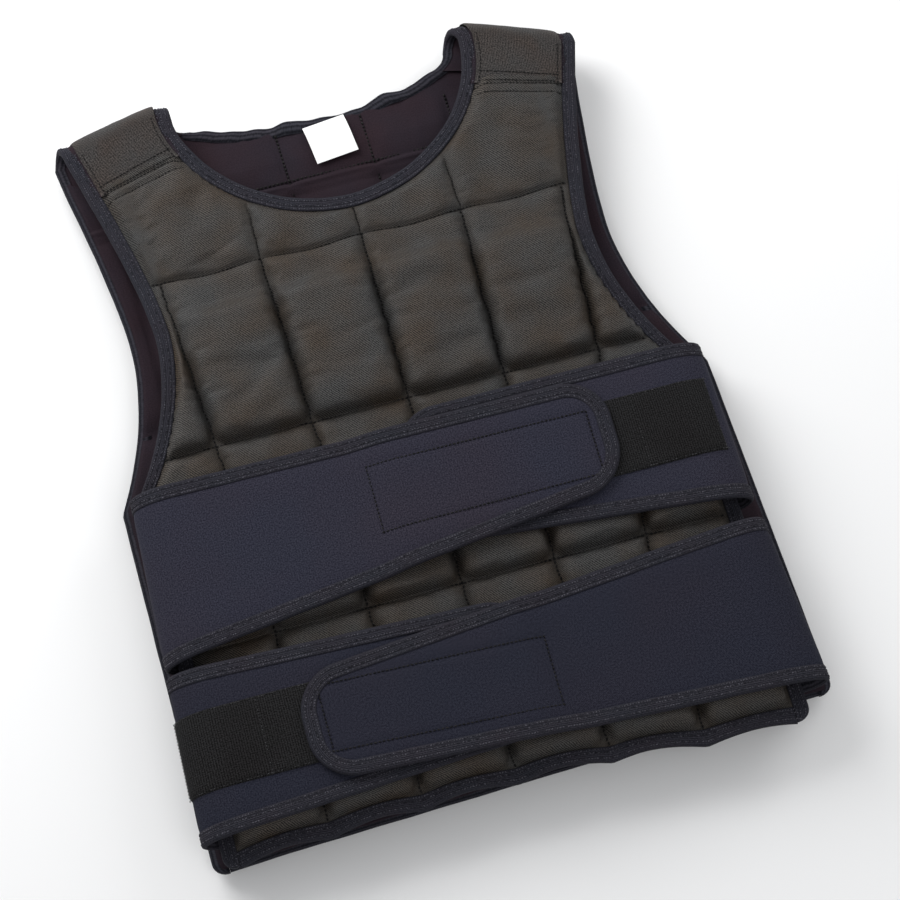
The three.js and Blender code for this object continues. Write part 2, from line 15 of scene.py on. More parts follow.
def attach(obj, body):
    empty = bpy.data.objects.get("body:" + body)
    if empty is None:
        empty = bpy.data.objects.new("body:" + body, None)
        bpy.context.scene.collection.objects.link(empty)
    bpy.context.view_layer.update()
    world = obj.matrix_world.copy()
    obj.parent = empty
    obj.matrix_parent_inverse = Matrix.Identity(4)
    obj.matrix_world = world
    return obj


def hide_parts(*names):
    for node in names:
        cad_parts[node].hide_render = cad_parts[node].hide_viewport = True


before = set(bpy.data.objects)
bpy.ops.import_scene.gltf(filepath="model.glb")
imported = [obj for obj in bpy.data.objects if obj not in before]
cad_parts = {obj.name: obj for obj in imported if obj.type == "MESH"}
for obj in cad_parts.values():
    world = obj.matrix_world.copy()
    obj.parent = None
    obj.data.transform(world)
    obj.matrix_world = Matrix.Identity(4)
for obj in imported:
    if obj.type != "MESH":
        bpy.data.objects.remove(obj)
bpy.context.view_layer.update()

# Camera
# It looks down on the vest from its hem side, a little from the viewer's left, as the
# picture of the real vest was taken.

view_turn = math.radians(-15.3)
view_climb = math.radians(71)
view_distance = 2.2
looked_at = Vector((0.01374, -0.039, 0.030))
backwards = Vector(
    (
        math.sin(view_turn) * math.cos(view_climb),
        -math.cos(view_turn) * math.cos(view_climb),
        math.sin(view_climb),
    )
)
rightwards = Vector((math.cos(view_turn), math.sin(view_turn), 0))
camera_data = bpy.data.cameras.new("camera")
camera_data.lens = 111.5
camera_data.sensor_width = 36
camera = bpy.data.objects.new("camera", camera_data)
bpy.context.scene.collection.objects.link(camera)
turned = Matrix((rightwards, backwards.cross(rightwards), backwards)).transposed()
camera.matrix_world = Matrix.Translation(looked_at + backwards * view_distance) @ turned.to_4x4()
bpy.context.scene.camera = camera

# Studio
# A pale floor, an even surround, and large soft lamps: the main one stands past the shoulders,
# so the slopes that face the hem are darker.

bpy.context.scene.view_settings.view_transform = "Standard"

surround = bpy.data.worlds.new("surround")
surround.use_nodes = True
surround.node_tree.nodes["Background"].inputs["Color"].default_value = (0.97, 0.98, 1.0, 1)
surround.node_tree.nodes["Background"].inputs["Strength"].default_value = 0.47
bpy.context.scene.world = surround

floor_material = bpy.data.materials.new("floor")
floor_material.use_nodes = True
floor_shader = floor_material.node_tree.nodes["Principled BSDF"]
floor_shader.inputs["Base Color"].default_value = (0.87, 0.87, 0.87, 1)
floor_shader.inputs["Roughness"].default_value = 0.9
floor_mesh = bpy.data.meshes.new("floor")
floor_reach = 4.0
floor_level = -0.0005
floor_corners = [(-1, -1), (1, -1), (1, 1), (-1, 1)]
floor_mesh.from_pydata(
    [(x * floor_reach, y * floor_reach, floor_level) for x, y in floor_corners], [], [(0, 1, 2, 3)]
)
floor_mesh.materials.append(floor_material)
floor = bpy.data.objects.new("floor", floor_mesh)
bpy.context.scene.collection.objects.link(floor)

lamps = [
    {"name": "main_lamp", "place": (-0.75, 1.2, 1.05), "size": 1.2, "power": 30},
    {"name": "front_lamp", "place": (0.5, -1.4, 2.4), "size": 1.6, "power": 12},
    {"name": "side_lamp", "place": (1.6, 0.9, 1.2), "size": 1.2, "power": 12},
]
for lamp in lamps:
    light = bpy.data.lights.new(lamp["name"], "AREA")
    light.energy = lamp["power"]
    light.size = lamp["size"]
    lamp_object = bpy.data.objects.new(lamp["name"], light)
    lamp_object.location = lamp["place"]
    aim = -Vector(lamp["place"])
    lamp_object.rotation_euler = aim.to_track_quat("-Z", "Y").to_euler()
    bpy.context.scene.collection.objects.link(lamp_object)

# Back panel
# Nylon outside and dark knitted lining inside over thin foam. It lies lining up under the
# front, turned a little, and shows in the neck, in the armholes and along both sides.

vest_length = 638
middle_shift = -7.26
back_level = 18.3
front_level = 40.0
hem_corner_radius = 10
binding_width = 12
edge_inset = 12.3
fold_radius = (front_level - back_level) / 2
inner_fold = vest_length - fold_radius - 6.3
outer_fold = inner_fold - 26
first_crease = 168
row_pitch = 158
top_seam = 472

front = {
    "hem_half": 230, "underarm_half": 224, "underarm": 304, "waist": 181, "waist_at": 430,
    "shoulder": 216, "neck_half": 123, "neck_depth": 111, "seam_inner": 577, "seam_outer": 558,
    "level": front_level, "droop": 4, "droop_from": 150, "hem_shift": 0, "top_shift": -2,
    "shift_power": 3, "arch": 7, "rise": 0, "turn": 0, "lift_end": first_crease, "face": 1,
    "sag": 7,
}
back = {
    "hem_half": 248, "underarm_half": 242, "underarm": 300, "waist": 200, "waist_at": 440,
    "shoulder": 220, "neck_half": 116, "neck_depth": 28, "seam_inner": 604, "seam_outer": 578,
    "level": back_level, "droop": 7, "droop_from": 185, "hem_shift": 9, "top_shift": -8,
    "shift_power": 1, "arch": 0, "rise": 10, "turn": 0.028, "lift_end": 440, "face": -1,
    "sag": 0,
}
neck_power = 1.9


def half_width(shape, height):
    """Half the width of a panel at a height, out to the rim of its bound edge."""
    height = np.asarray(height, float)
    side = shape["hem_half"] + (shape["underarm_half"] - shape["hem_half"]) * height / shape["underarm"]
    rise = np.clip(hem_corner_radius - height, 0, hem_corner_radius)
    side = side - hem_corner_radius + np.sqrt(hem_corner_radius**2 - rise**2)
    share = np.clip((height - shape["underarm"]) / (shape["waist_at"] - shape["underarm"]), 0, 1)
    armhole = shape["waist"] + (shape["underarm_half"] - shape["waist"]) * (1 - share) ** 2
    share = np.clip((height - shape["waist_at"]) / (outer_fold - shape["waist_at"]), 0, 1)
    shoulder = shape["waist"] + (shape["shoulder"] - shape["waist"]) * share**1.4
    armhole = np.where(height > shape["waist_at"], shoulder, armhole)
    return np.where(height > shape["underarm"], armhole, side)


def neck_reach(shape, across, height, inset=0.0):
    """How far a point is outside the neckline, moved outwards by inset. Negative is inside it."""
    wide = shape["neck_half"] + inset
    deep = shape["neck_depth"] + inset
    up = np.clip(inner_fold - np.asarray(height, float), 0, None)
    size = (np.abs(across / wide) ** neck_power + (up / deep) ** neck_power) ** (1 / neck_power)
    return (size - 1) * min(wide, deep)


def panel_shift(shape, height):
    share = np.clip(np.asarray(height, float) / inner_fold, 0, 1) ** shape["shift_power"]
    return shape["hem_shift"] + (shape["top_shift"] - shape["hem_shift"]) * share


def panel_place(shape, across, height, above=0.0):
    """Points of a panel, by their signed distance from its middle line, their height, and how
    far they lie outside its middle surface."""
    across = np.asarray(across, float)
    height = np.asarray(height, float)
    arch = shape["arch"] * (1 - (across / shape["hem_half"]) ** 2)
    lift = arch + shape["rise"] + shape["turn"] * across
    lift = lift - shape["sag"] * np.exp(-(((across - 160) / 75) ** 2))
    up = height + lift * np.clip(1 - height / shape["lift_end"], 0, 1)
    fade = 1 - np.clip((height - shape["underarm"]) / (shape["waist_at"] - shape["underarm"]), 0, 1)
    share = np.clip(np.abs(across) - shape["droop_from"], 0, None)
    share = share / (shape["hem_half"] - shape["droop_from"])
    level = shape["level"] - shape["droop"] * share * fade
    return np.stack(
        [
            across + panel_shift(shape, height) + middle_shift,
            up - vest_length / 2,
            level + shape["face"] * above,
        ],
        axis=-1,
    )


def soft_noise(*coordinates, seed=0.0):
    """Smooth noise from about -1 to 1 at arrays of coordinates."""
    stacked = np.broadcast_arrays(*coordinates)
    flat = [np.ravel(c) for c in stacked]
    while len(flat) < 3:
        flat.append(np.zeros_like(flat[0], dtype=float))
    flat[2] = flat[2] + seed
    values = [noise.noise((a, b, c)) for a, b, c in zip(*flat)]
    return np.reshape(values, stacked[0].shape)


def cloth_mesh(name, points, faces, material, flat):
    """A mesh object from points in millimetres, with its flat cut as a UV map in metres."""
    mesh = bpy.data.meshes.new(name)
    mesh.from_pydata((np.reshape(points, (-1, 3)) / 1000).tolist(), [], [list(f) for f in faces])
    mesh.materials.append(material)
    layer = mesh.uv_layers.new(name="flat")
    corners = np.zeros(len(mesh.loops), np.int32)
    mesh.loops.foreach_get("vertex_index", corners)
    layer.data.foreach_set("uv", (np.reshape(flat, (-1, 2))[corners] / 1000).ravel())
    mesh.shade_smooth()
    mesh.validate()
    made = bpy.data.objects.new(name, mesh)
    bpy.context.scene.collection.objects.link(made)
    return made


def grid_faces(rows, columns, first=0, ring_rows=False, ring_columns=False):
    """Faces of a grid of points, row after row."""
    faces = []
    for row in range(rows if ring_rows else rows - 1):
        for column in range(columns if ring_columns else columns - 1):
            a = first + row * columns + column
            b = first + row * columns + (column + 1) % columns
            c = first + ((row + 1) % rows) * columns + (column + 1) % columns
            d = first + ((row + 1) % rows) * columns + column
            faces.append((a, b, c, d))
    return faces


def kept_grid(points, flat, keep, faces):
    """The points, flat cut and faces that are kept, and which points those were."""
    faces = [f for f in faces if keep[list(f)].mean() > 0.5]
    used = np.unique(np.array(faces).ravel())
    number = np.full(len(points), -1)
    number[used] = np.arange(len(used))
    return points[used], flat[used], [tuple(int(number[i]) for i in f) for f in faces], used


def add_node(tree, kind, inputs, **settings):
    """A node with these settings. Each input gets a value, or a link from another's output."""
    node = tree.nodes.new(kind)
    for name, value in settings.items():
        setattr(node, name, value)
    for name, value in inputs.items():
        if isinstance(value, bpy.types.NodeSocket):
            tree.links.new(value, node.inputs[name])
        else:
            node.inputs[name].default_value = value
    return node


def new_material(name):
    """A material with its own nodes: its tree and its shader."""
    material = bpy.data.materials.new(name)
    material.use_nodes = True
    return material, material.node_tree, material.node_tree.nodes["Principled BSDF"]


def tone_ramp(tree, mask, dark, light, dark_at, light_at):
    """A colour from dark to light by a mask."""
    tones = add_node(tree, "ShaderNodeValToRGB", {"Fac": mask})
    for stop, colour, place in zip(tones.color_ramp.elements, (dark, light), (dark_at, light_at)):
        stop.position = place
        stop.color = (*colour, 1)
    return tones.outputs["Color"]


def weave_group():
    """Shader group: threads that cross, as a mask, from a position in metres."""
    tree = bpy.data.node_groups.new("weave", "ShaderNodeTree")
    sockets = tree.interface
    sockets.new_socket("Position", in_out="INPUT", socket_type="NodeSocketVector")
    values = {"Slant": 0.8, "Rib Scale": 220.0, "Thread Scale": 500.0, "Roughness": 0.4}
    for name, value in values.items():
        socket = sockets.new_socket(name, in_out="INPUT", socket_type="NodeSocketFloat")
        socket.default_value = value
    sockets.new_socket("Mask", in_out="OUTPUT", socket_type="NodeSocketFloat")
    enter = tree.nodes.new("NodeGroupInput").outputs
    turned = add_node(tree, "ShaderNodeVectorRotate", {
        "Vector": enter["Position"], "Angle": enter["Slant"],
    }, rotation_type="Z_AXIS").outputs["Vector"]
    ribs = add_node(tree, "ShaderNodeTexWave", {
        "Distortion": 1.2, "Detail": 1.0, "Detail Scale": 0.6,
        "Vector": turned, "Scale": enter["Rib Scale"],
    })
    threads = add_node(tree, "ShaderNodeTexWave", {
        "Distortion": 1.0, "Detail": 0.0, "Vector": turned, "Scale": enter["Thread Scale"],
    }, bands_direction="Y")
    fuzz = add_node(tree, "ShaderNodeTexNoise", {"Scale": 900, "Detail": 1, "Vector": enter["Position"]})
    both = add_node(tree, "ShaderNodeMix", {
        "Factor": 0.3, "A": ribs.outputs["Fac"], "B": threads.outputs["Fac"],
    })
    rough = add_node(tree, "ShaderNodeMix", {
        "Factor": enter["Roughness"], "A": both.outputs["Result"], "B": fuzz.outputs["Fac"],
    })
    add_node(tree, "NodeGroupOutput", {"Mask": rough.outputs["Result"]})
    return tree


weave = weave_group()


def cloth_material(
    name, dark, light, weave_values, bump, roughness, patch=(1, 1, 1), patch_scale=14.0, sheen=0.0,
    blotch=0.6,
):
    """Cloth that mixes two colours by its weave, with patches of a third, on its flat cut."""
    material, tree, shader = new_material(name)
    place = add_node(tree, "ShaderNodeUVMap", {}, uv_map="flat").outputs["UV"]
    threads = add_node(tree, "ShaderNodeGroup", {**weave_values, "Position": place}, node_tree=weave)
    mask = threads.outputs["Mask"]
    cloudy = add_node(tree, "ShaderNodeTexNoise", {"Scale": patch_scale, "Detail": 3, "Vector": place})
    spread_out = add_node(tree, "ShaderNodeMapRange", {
        "From Min": 0.35, "From Max": 0.7, "To Max": blotch, "Value": cloudy.outputs["Fac"],
    })
    tinted = add_node(tree, "ShaderNodeMix", {
        "Factor": spread_out.outputs["Result"],
        "A": tone_ramp(tree, mask, dark, light, 0.36, 0.66), "B": (*patch, 1),
    }, data_type="RGBA", blend_type="MULTIPLY")
    relief = add_node(tree, "ShaderNodeBump", {"Distance": bump, "Strength": 0.8, "Height": mask})
    tree.links.new(tinted.outputs["Result"], shader.inputs["Base Color"])
    tree.links.new(relief.outputs["Normal"], shader.inputs["Normal"])
    shader.inputs["Roughness"].default_value = roughness
    shader.inputs["Sheen Weight"].default_value = sheen
    shader.inputs["Sheen Roughness"].default_value = 0.45
    shader.inputs["Specular IOR Level"].default_value = 0.12
    return material


lining = cloth_material(
    "lining", (0.011, 0.008, 0.012), (0.024, 0.018, 0.025),
    {"Slant": 0.0, "Rib Scale": 380.0, "Thread Scale": 420.0, "Roughness": 0.6},
    0.0002, 0.9, patch=(1.3, 0.85, 0.75),
)
nylon = cloth_material(
    "nylon", (0.0045, 0.0045, 0.0045), (0.079, 0.078, 0.077),
    {"Slant": -0.7, "Rib Scale": 198.0, "Thread Scale": 300.0, "Roughness": 0.6},
    0.0004, 0.55, patch=(1.02, 0.80, 0.62), blotch=1.0, patch_scale=20,
)


def close_under(made, depth):
    """A wall of that depth, in metres, under an open sheet."""
    wall = made.modifiers.new("wall", "SOLIDIFY")
    wall.thickness = depth
    wall.offset = -1


back_rows = np.concatenate([np.linspace(4, 500, 90), np.linspace(502, 612, 70)])
back_columns = np.linspace(-1, 1, 121)
back_across = back_columns[None, :] * (half_width(back, back_rows)[:, None] - 5)
back_height = np.repeat(back_rows[:, None], len(back_columns), 1)
nearest = np.min(np.abs(back_across[..., None] + 2 - 72 * (np.arange(-3, 3) + 0.5)), axis=-1)
puff = (1 - np.exp(-nearest / 2.5)) * (0.75 + 0.25 * np.clip(nearest / 25, 0, 1))
welt = np.clip((back_height - 527) / 7, 0, 1) * np.clip((540 - back_height) / 3, 0, 1)
row_gap = np.min(np.abs(back_height[..., None] - np.array([12, 182, 356, 534])), axis=-1)
puff = puff * (1 - np.exp(-row_gap / 8)) * np.clip((590 - back_height) / 30, 0, 1)
back_above = -2 - 5.0 * puff - 4.0 * welt
back_above = back_above - 1.2 * soft_noise(back_across / 34, back_height / 40)
back_above = back_above - 0.5 * soft_noise(back_across / 9, back_height / 14, seed=3.0)
back_points = panel_place(back, back_across, back_height, back_above).reshape(-1, 3)
back_flat = np.stack([back_across, back_height], -1).reshape(-1, 2)
keep = (neck_reach(back, back_across, back_height, 5) > 0) & (back_height < 610)
back_points, back_flat, back_faces, _ = kept_grid(
    back_points, back_flat, keep.ravel(), grid_faces(len(back_rows), len(back_columns))
)
back_panel = cloth_mesh("back_panel_cloth", back_points, back_faces, lining, back_flat)
close_under(back_panel, 0.003)
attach(back_panel, "root")
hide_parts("back_panel")

# The seams of the lining are sewn later, when the thread is made
lining_rows = []
for seam_across in (-38, 34, -110, 106):
    heights = np.arange(360, 586, 4.0)
    lining_rows.append((panel_place(back, np.full_like(heights, seam_across), heights, -3.0), (0, 0, 1)))
across = np.arange(-150, 150, 4.0)
lining_rows.append((panel_place(back, across, np.full_like(across, 541.5), -4.5), (0, 0, 1)))

# Back pockets
# Three rows of five weight pockets under the back panel, of the same nylon as the front.
# Nothing of them shows from the front, so they are plain stuffed cells.

back_pocket_pitch = 74
back_row_pitch = 174
back_pocket_height = 157
pocket_depth = 16


def crown(share, fullness=1.4, power=4):
    """Rise of a stuffed cell over its width: steep at its seams, flat over what fills it."""
    return np.minimum(1, fullness * np.sqrt(np.clip(1 - np.abs(2 * share - 1) ** power, 0, 1)))


cell_shares = np.concatenate([[0, 0.012, 0.03, 0.06, 0.1, 0.16], np.linspace(0.23, 0.77, 9)])
cell_shares = np.concatenate([cell_shares, 1 - cell_shares[5::-1]])
pocket_points, pocket_flat, pocket_faces = [], [], []
for row in range(3):
    for column in range(-2, 3):
        u, v = np.meshgrid(cell_shares, cell_shares)
        across = column * back_pocket_pitch + (u - 0.5) * (back_pocket_pitch - 1.6)
        height = 12.3 + row * back_row_pitch + back_pocket_height * v
        rise = 1.2 + (pocket_depth - 1.5) * crown(u) * crown(v)
        rise = rise - 0.5 * (1 + soft_noise(across / 14, height / 14, seed=3.0))
        first = len(pocket_points) * u.size
        pocket_points.append(panel_place(back, across, height, 2.3 + rise).reshape(-1, 3))
        pocket_flat.append(np.stack([across, height], -1).reshape(-1, 2))
        pocket_faces += [f[::-1] for f in grid_faces(*u.shape, first=first)]
back_pockets = cloth_mesh(
    "back_pockets", np.concatenate(pocket_points), pocket_faces, nylon, np.concatenate(pocket_flat)
)
close_under(back_pockets, 0.0012)
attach(back_pockets, "root")
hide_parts(*[f"back_pocket_row{r}_{c}" for r in (1, 2, 3) for c in range(1, 6)])

# Front panel lining
# The inner side of the front is one plain sheet of dark knitted lining. The quilted shell is
# sewn to it, and its edges end under the binding.



def strap_seam(across):
    """Height of the seam where the straps go on to the front."""
    fall = front["seam_inner"] - front["seam_outer"]
    return front["seam_inner"] - fall * np.clip((np.abs(across) - 135) / 70, 0, 1)


front_rows = np.linspace(5, 576, 110)
front_columns = np.linspace(-1, 1, 101)
lining_across = front_columns[None, :] * (half_width(front, front_rows)[:, None] - 5)
lining_height = np.repeat(front_rows[:, None], len(front_columns), 1)
lining_above = -1.6 - 0.3 * soft_noise(lining_across / 30, lining_height / 30)
lining_points = panel_place(front, lining_across, lining_height, lining_above).reshape(-1, 3)
lining_flat = np.stack([lining_across, lining_height], -1).reshape(-1, 2)
keep = neck_reach(front, lining_across, lining_height, 5) > 0
keep &= lining_height < strap_seam(lining_across)
lining_points, lining_flat, lining_faces, _ = kept_grid(
    lining_points, lining_flat, keep.ravel(), grid_faces(len(front_rows), len(front_columns))
)
front_lining = cloth_mesh(
    "front_panel_lining", lining_points, [f[::-1] for f in lining_faces], lining, lining_flat
)
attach(front_lining, "root")
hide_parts("front_panel")

# Quilted front shell
# Heavy twill nylon, sewn down to the lining round each flat metal weight. A weight fills the
# lower part of its pocket and ends hard at the crease. Above it the cloth is slack.

seam_level = 3.5
creases = np.array([12, first_crease, first_crease + row_pitch, top_seam])
pocket_pitch = 73
pitch_spread = 10.5


def front_seam(index, height):
    """Distance of a vertical quilting seam from the middle line."""
    return index * (pocket_pitch + pitch_spread * (np.asarray(height, float) / top_seam) ** 2)


def rounded(distance, radius, power=2.4):
    """Rise from a seam: steep beside it, level past the radius."""
    share = np.clip(np.asarray(distance, float) / radius, 0, 1)
    return (1 - (1 - share) ** power) ** (1 / power)


column_shares = np.array(
    [0, 0.010, 0.022, 0.04, 0.062, 0.09, 0.125, 0.165, 0.21, 0.26, 0.315, 0.375, 0.4375, 0.5]
)
column_shares = np.concatenate([column_shares, 1 - column_shares[-2:0:-1]])
shell_index = np.concatenate([k + column_shares for k in range(3)] + [[3.0, 3.04, 3.09, 3.15, 3.2]])
shell_index = np.concatenate([-shell_index[:0:-1], shell_index])
row_shares = np.concatenate(
    [[0, 0.006, 0.014, 0.024, 0.036, 0.05, 0.066, 0.085], np.linspace(0.11, 0.86, 36)]
)
row_shares = np.concatenate([row_shares, [0.885, 0.91, 0.93, 0.95, 0.965, 0.98, 0.99]])
yoke_rows = np.linspace(top_seam, 581, 60)
shell_rows = np.concatenate(
    [
        [4, 8, 12],
        12 + (first_crease - 12) * row_shares[1:],
        first_crease + row_pitch * row_shares,
        creases[2] + (top_seam - creases[2]) * row_shares,
        yoke_rows,
    ]
)
index_grid, height_grid = np.meshgrid(shell_index, shell_rows)
yoke_lean = -0.07 * np.sign(index_grid) * np.clip(height_grid - top_seam, 0, None)
yoke_lean = yoke_lean * np.exp(-(((np.abs(index_grid) - 1) / 0.5) ** 2))


def seam_wander(seam, height):
    """How far a hand-guided seam wanders sideways."""
    wander = 1.5 * soft_noise(seam * 7.7, height / 9.0, seed=9.0)
    return wander + 0.9 * soft_noise(seam * 3.7, height / 3.5, seed=2.0)


wiggle = seam_wander(np.round(index_grid), height_grid)
wiggle = wiggle * np.exp(-np.abs(index_grid - np.round(index_grid)) * 14) * (np.abs(index_grid) < 2.5)
across_grid = np.sign(index_grid) * front_seam(np.abs(index_grid), height_grid) + wiggle + yoke_lean


def shell_rise(index, across, height):
    """How far the shell stands out from the front of the panel."""
    size = np.abs(index)
    pitch = front_seam(1, height)
    edge = half_width(front, height) - binding_width - np.abs(across)
    below = (size - np.floor(size)) * pitch
    above = (1 - size + np.floor(size)) * pitch
    outer = size > 2
    below = np.where(outer, (size - 2) * pitch, below)
    above = np.where(outer, 400.0, above)
    side_gap = np.clip(np.minimum(np.minimum(below, above) - 1.2, edge + 1), 0, None)
    row = np.clip(np.searchsorted(creases, height, side="right") - 1, 0, 2)
    low, high = creases[row], creases[row + 1]
    from_low = np.clip(height - low, 0, None)
    from_high = np.clip(high - height, 0, None)
    cell = row * 7 + np.floor(index) + 30
    variety = soft_noise(cell * 3.7, cell * 1.3, seed=5.0)
    block_end = 34 + 8 * variety
    slack = np.clip((from_high - block_end + 9) / 18, 0, 1)
    slack = slack * slack * (3 - 2 * slack)
    puff = 0.42 + 0.10 * variety
    low_reach = np.where(row == 0, 17.0, 11.5 + 3 * variety)
    low_gap = np.clip(1 - np.clip(from_low - 0.5, 0, None) / low_reach, 0, 1)
    wall_gap = np.clip(1 - side_gap / 12, 0, 1)
    body = 1 - np.clip(low_gap**2.2 + wall_gap**2.2, 0, 1) ** (1 / 2.2)
    body = np.clip(1 - (1 - body) ** 2.3, 0, 1) ** (1 / 1.7)
    body = body * (puff + (1 - puff) * slack)
    body = body * rounded(from_high, 12, 2.0)
    rise = seam_level - 2.3 + (pocket_depth - seam_level + 1.5) * body
    crowned = np.clip(side_gap / (pitch / 2), 0, 1)
    rise = rise + 0.9 * crowned * slack
    yoke_body = rounded(np.minimum(below, above), 12) * rounded(edge, 14)
    yoke_body = np.where(size > 1, rounded((size - 1) * pitch, 12), yoke_body) * rounded(edge, 14)
    yoke_body = yoke_body * rounded(height - top_seam, 10)
    yoke_body = yoke_body * rounded(neck_reach(front, across, height, 12), 10)
    yoke_rise = seam_level - 2.3 + 5.2 * yoke_body
    rise = np.where(height > top_seam, yoke_rise, rise)
    rim_gap = np.minimum(edge, neck_reach(front, across, height, 12))
    hem_band = strap_seam(across) - height
    for seam_gap, depth in ((4, 1.6), (12, 1.2)):
        rise = rise - depth * np.exp(-(((hem_band - seam_gap) / 2) ** 2))
    shown = np.clip(rim_gap / 6, 0, 1) * np.clip((height - 12) / 5, 0, 1)
    rise = -0.9 + (rise + 0.9) * shown
    return rise, body, side_gap, slack


rise_grid, body_grid, side_gap, slack_grid = shell_rise(index_grid, across_grid, height_grid)
pucker = np.exp(-side_gap / 9) * (1 - np.exp(-side_gap / 1.5))
pucker = pucker * soft_noise(np.sign(index_grid) * 3, height_grid / 4.5, across_grid / 30, seed=1.0)
broad = soft_noise(across_grid / 26, height_grid / 30, seed=2.0)
creased = soft_noise((across_grid + height_grid) / 16, (across_grid - height_grid) / 45, seed=4.0)
in_yoke = height_grid > top_seam
rim = np.minimum(half_width(front, height_grid) - 12 - np.abs(across_grid),
                 neck_reach(front, across_grid, height_grid, 12))
plain_rise = rise_grid
rise_grid = rise_grid + np.where(in_yoke, 1.2, 3.6) * pucker + body_grid * 1.0 * broad
rise_grid = rise_grid + (
    np.where(in_yoke, 0.8, 0.9 * (1 - slack_grid)) * creased * np.minimum(1, side_gap / 10)
)
rise_grid = rise_grid + np.where(in_yoke, 0.9 * broad, 0)
rise_grid = plain_rise + (rise_grid - plain_rise) * np.clip(rim / 7, 0, 1)
under_belt = (height_grid < 300) & (height_grid > 20)
rise_grid = np.where(under_belt, np.minimum(rise_grid, pocket_depth - 0.1), rise_grid)
hem_wave = 4.5 * np.abs(np.sin(np.pi * index_grid)) - 2
hem_wave = hem_wave * np.exp(-height_grid / 16)
sag = -2.6 * np.sin(np.pi * index_grid) ** 2 * np.exp(-(((height_grid - top_seam) / 22) ** 2))
shell_points = panel_place(front, across_grid, height_grid + sag, 2.3 + rise_grid)
shell_points[..., 1] += hem_wave
shell_points[..., 2] += 0.5 * (hem_wave + 2) * np.exp(-height_grid / 20)
cell = np.clip(np.floor(index_grid), -3, 2)
from_left = (index_grid - cell) * front_seam(1, height_grid)
from_right = (cell + 1 - index_grid) * front_seam(1, height_grid)
wall = 7.0
cut_across = across_grid + wall * (2 * cell + np.exp(-from_right / 5) - np.exp(-from_left / 5))
row = np.searchsorted(creases, height_grid, "right")
row_start = np.array([0, *creases])[row]
cut_height = height_grid + wall * (row - np.exp(-(height_grid - row_start) / 5))
shell_flat = np.stack([cut_across, cut_height], -1).reshape(-1, 2)
seam_line = strap_seam(across_grid)
keep = (neck_reach(front, across_grid, height_grid, 6) > 0) & (height_grid < seam_line + 3)
keep &= np.abs(across_grid) < half_width(front, height_grid) - 5
shell_points, shell_flat, shell_faces, used = kept_grid(
    shell_points.reshape(-1, 3), shell_flat, keep.ravel(), grid_faces(*index_grid.shape)
)
front_shell = cloth_mesh("front_shell", shell_points, shell_faces, nylon, shell_flat)

# The cloth between the seams is a little larger than its pockets, so it swells and creases.
# It moves only where it isn't sewn, and never into the weight under it.
crease_gap = np.min(np.abs(height_grid[..., None] - creases), axis=-1)
free = np.clip(side_gap / 4, 0, 1) * np.clip(crease_gap / 5, 0, 1) * np.clip(rim / 4, 0, 1)
free = free * np.clip((seam_line - 4 - height_grid) / 5, 0, 1)
sewn = front_shell.vertex_groups.new(name="sewn")
for number, weight in enumerate((1 - free).ravel()[used]):
    if weight > 0.02:
        sewn.add([number], float(weight), "REPLACE")
cloth = front_shell.modifiers.new("cloth", "CLOTH")
settings = {
    "quality": 6, "mass": 0.25, "tension_stiffness": 12, "compression_stiffness": 8,
    "shear_stiffness": 4, "bending_stiffness": 0.8, "shrink_min": -0.025,
    "use_pressure": True, "uniform_pressure_force": 0.3, "vertex_group_mass": "sewn",
}
for setting, value in settings.items():
    setattr(cloth.settings, setting, value)
cloth.settings.effector_weights.gravity = 0
last_moment = 20
cloth.point_cache.frame_start = 1
cloth.point_cache.frame_end = last_moment
for moment in range(1, last_moment + 1):
    bpy.context.scene.frame_set(moment)
settled = front_shell.evaluated_get(bpy.context.evaluated_depsgraph_get()).to_mesh()
moved = np.zeros(len(settled.vertices) * 3)
settled.vertices.foreach_get("co", moved)
moved = moved.reshape(-1, 3) * 1000 - shell_points
front_shell.modifiers.clear()
front_shell.vertex_groups.clear()
bpy.context.scene.frame_set(1)
moved[:, :2] = np.clip(moved[:, :2], -1.5, 1.5)
moved[:, 2] = np.clip(moved[:, 2], -0.5, 1.8)
shell_points = shell_points + moved * free.ravel()[used][:, None]
belt_underside = 58.2
low_part = (shell_points[:, 1] < -19) & (shell_points[:, 2] > belt_underside)
shell_points[low_part, 2] = belt_underside
front_shell.data.vertices.foreach_set("co", (shell_points / 1000).ravel())
front_shell.data.update()
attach(front_shell, "root")
sides = ("left", "right")
front_nodes = [f"front_pocket_row{r}_{s}{c}" for r in (1, 2, 3) for s in sides for c in (1, 2, 3)]
front_nodes += [f"yoke_pad_{p}_{s}" for p in ("middle", "outer") for s in sides]
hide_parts(*front_nodes)

# Quilting thread
# Black spun thread lies in every seam of the shell and of the lining, in stitches that are
# pulled tight. One rule lays a stitch at every pitch along a line.


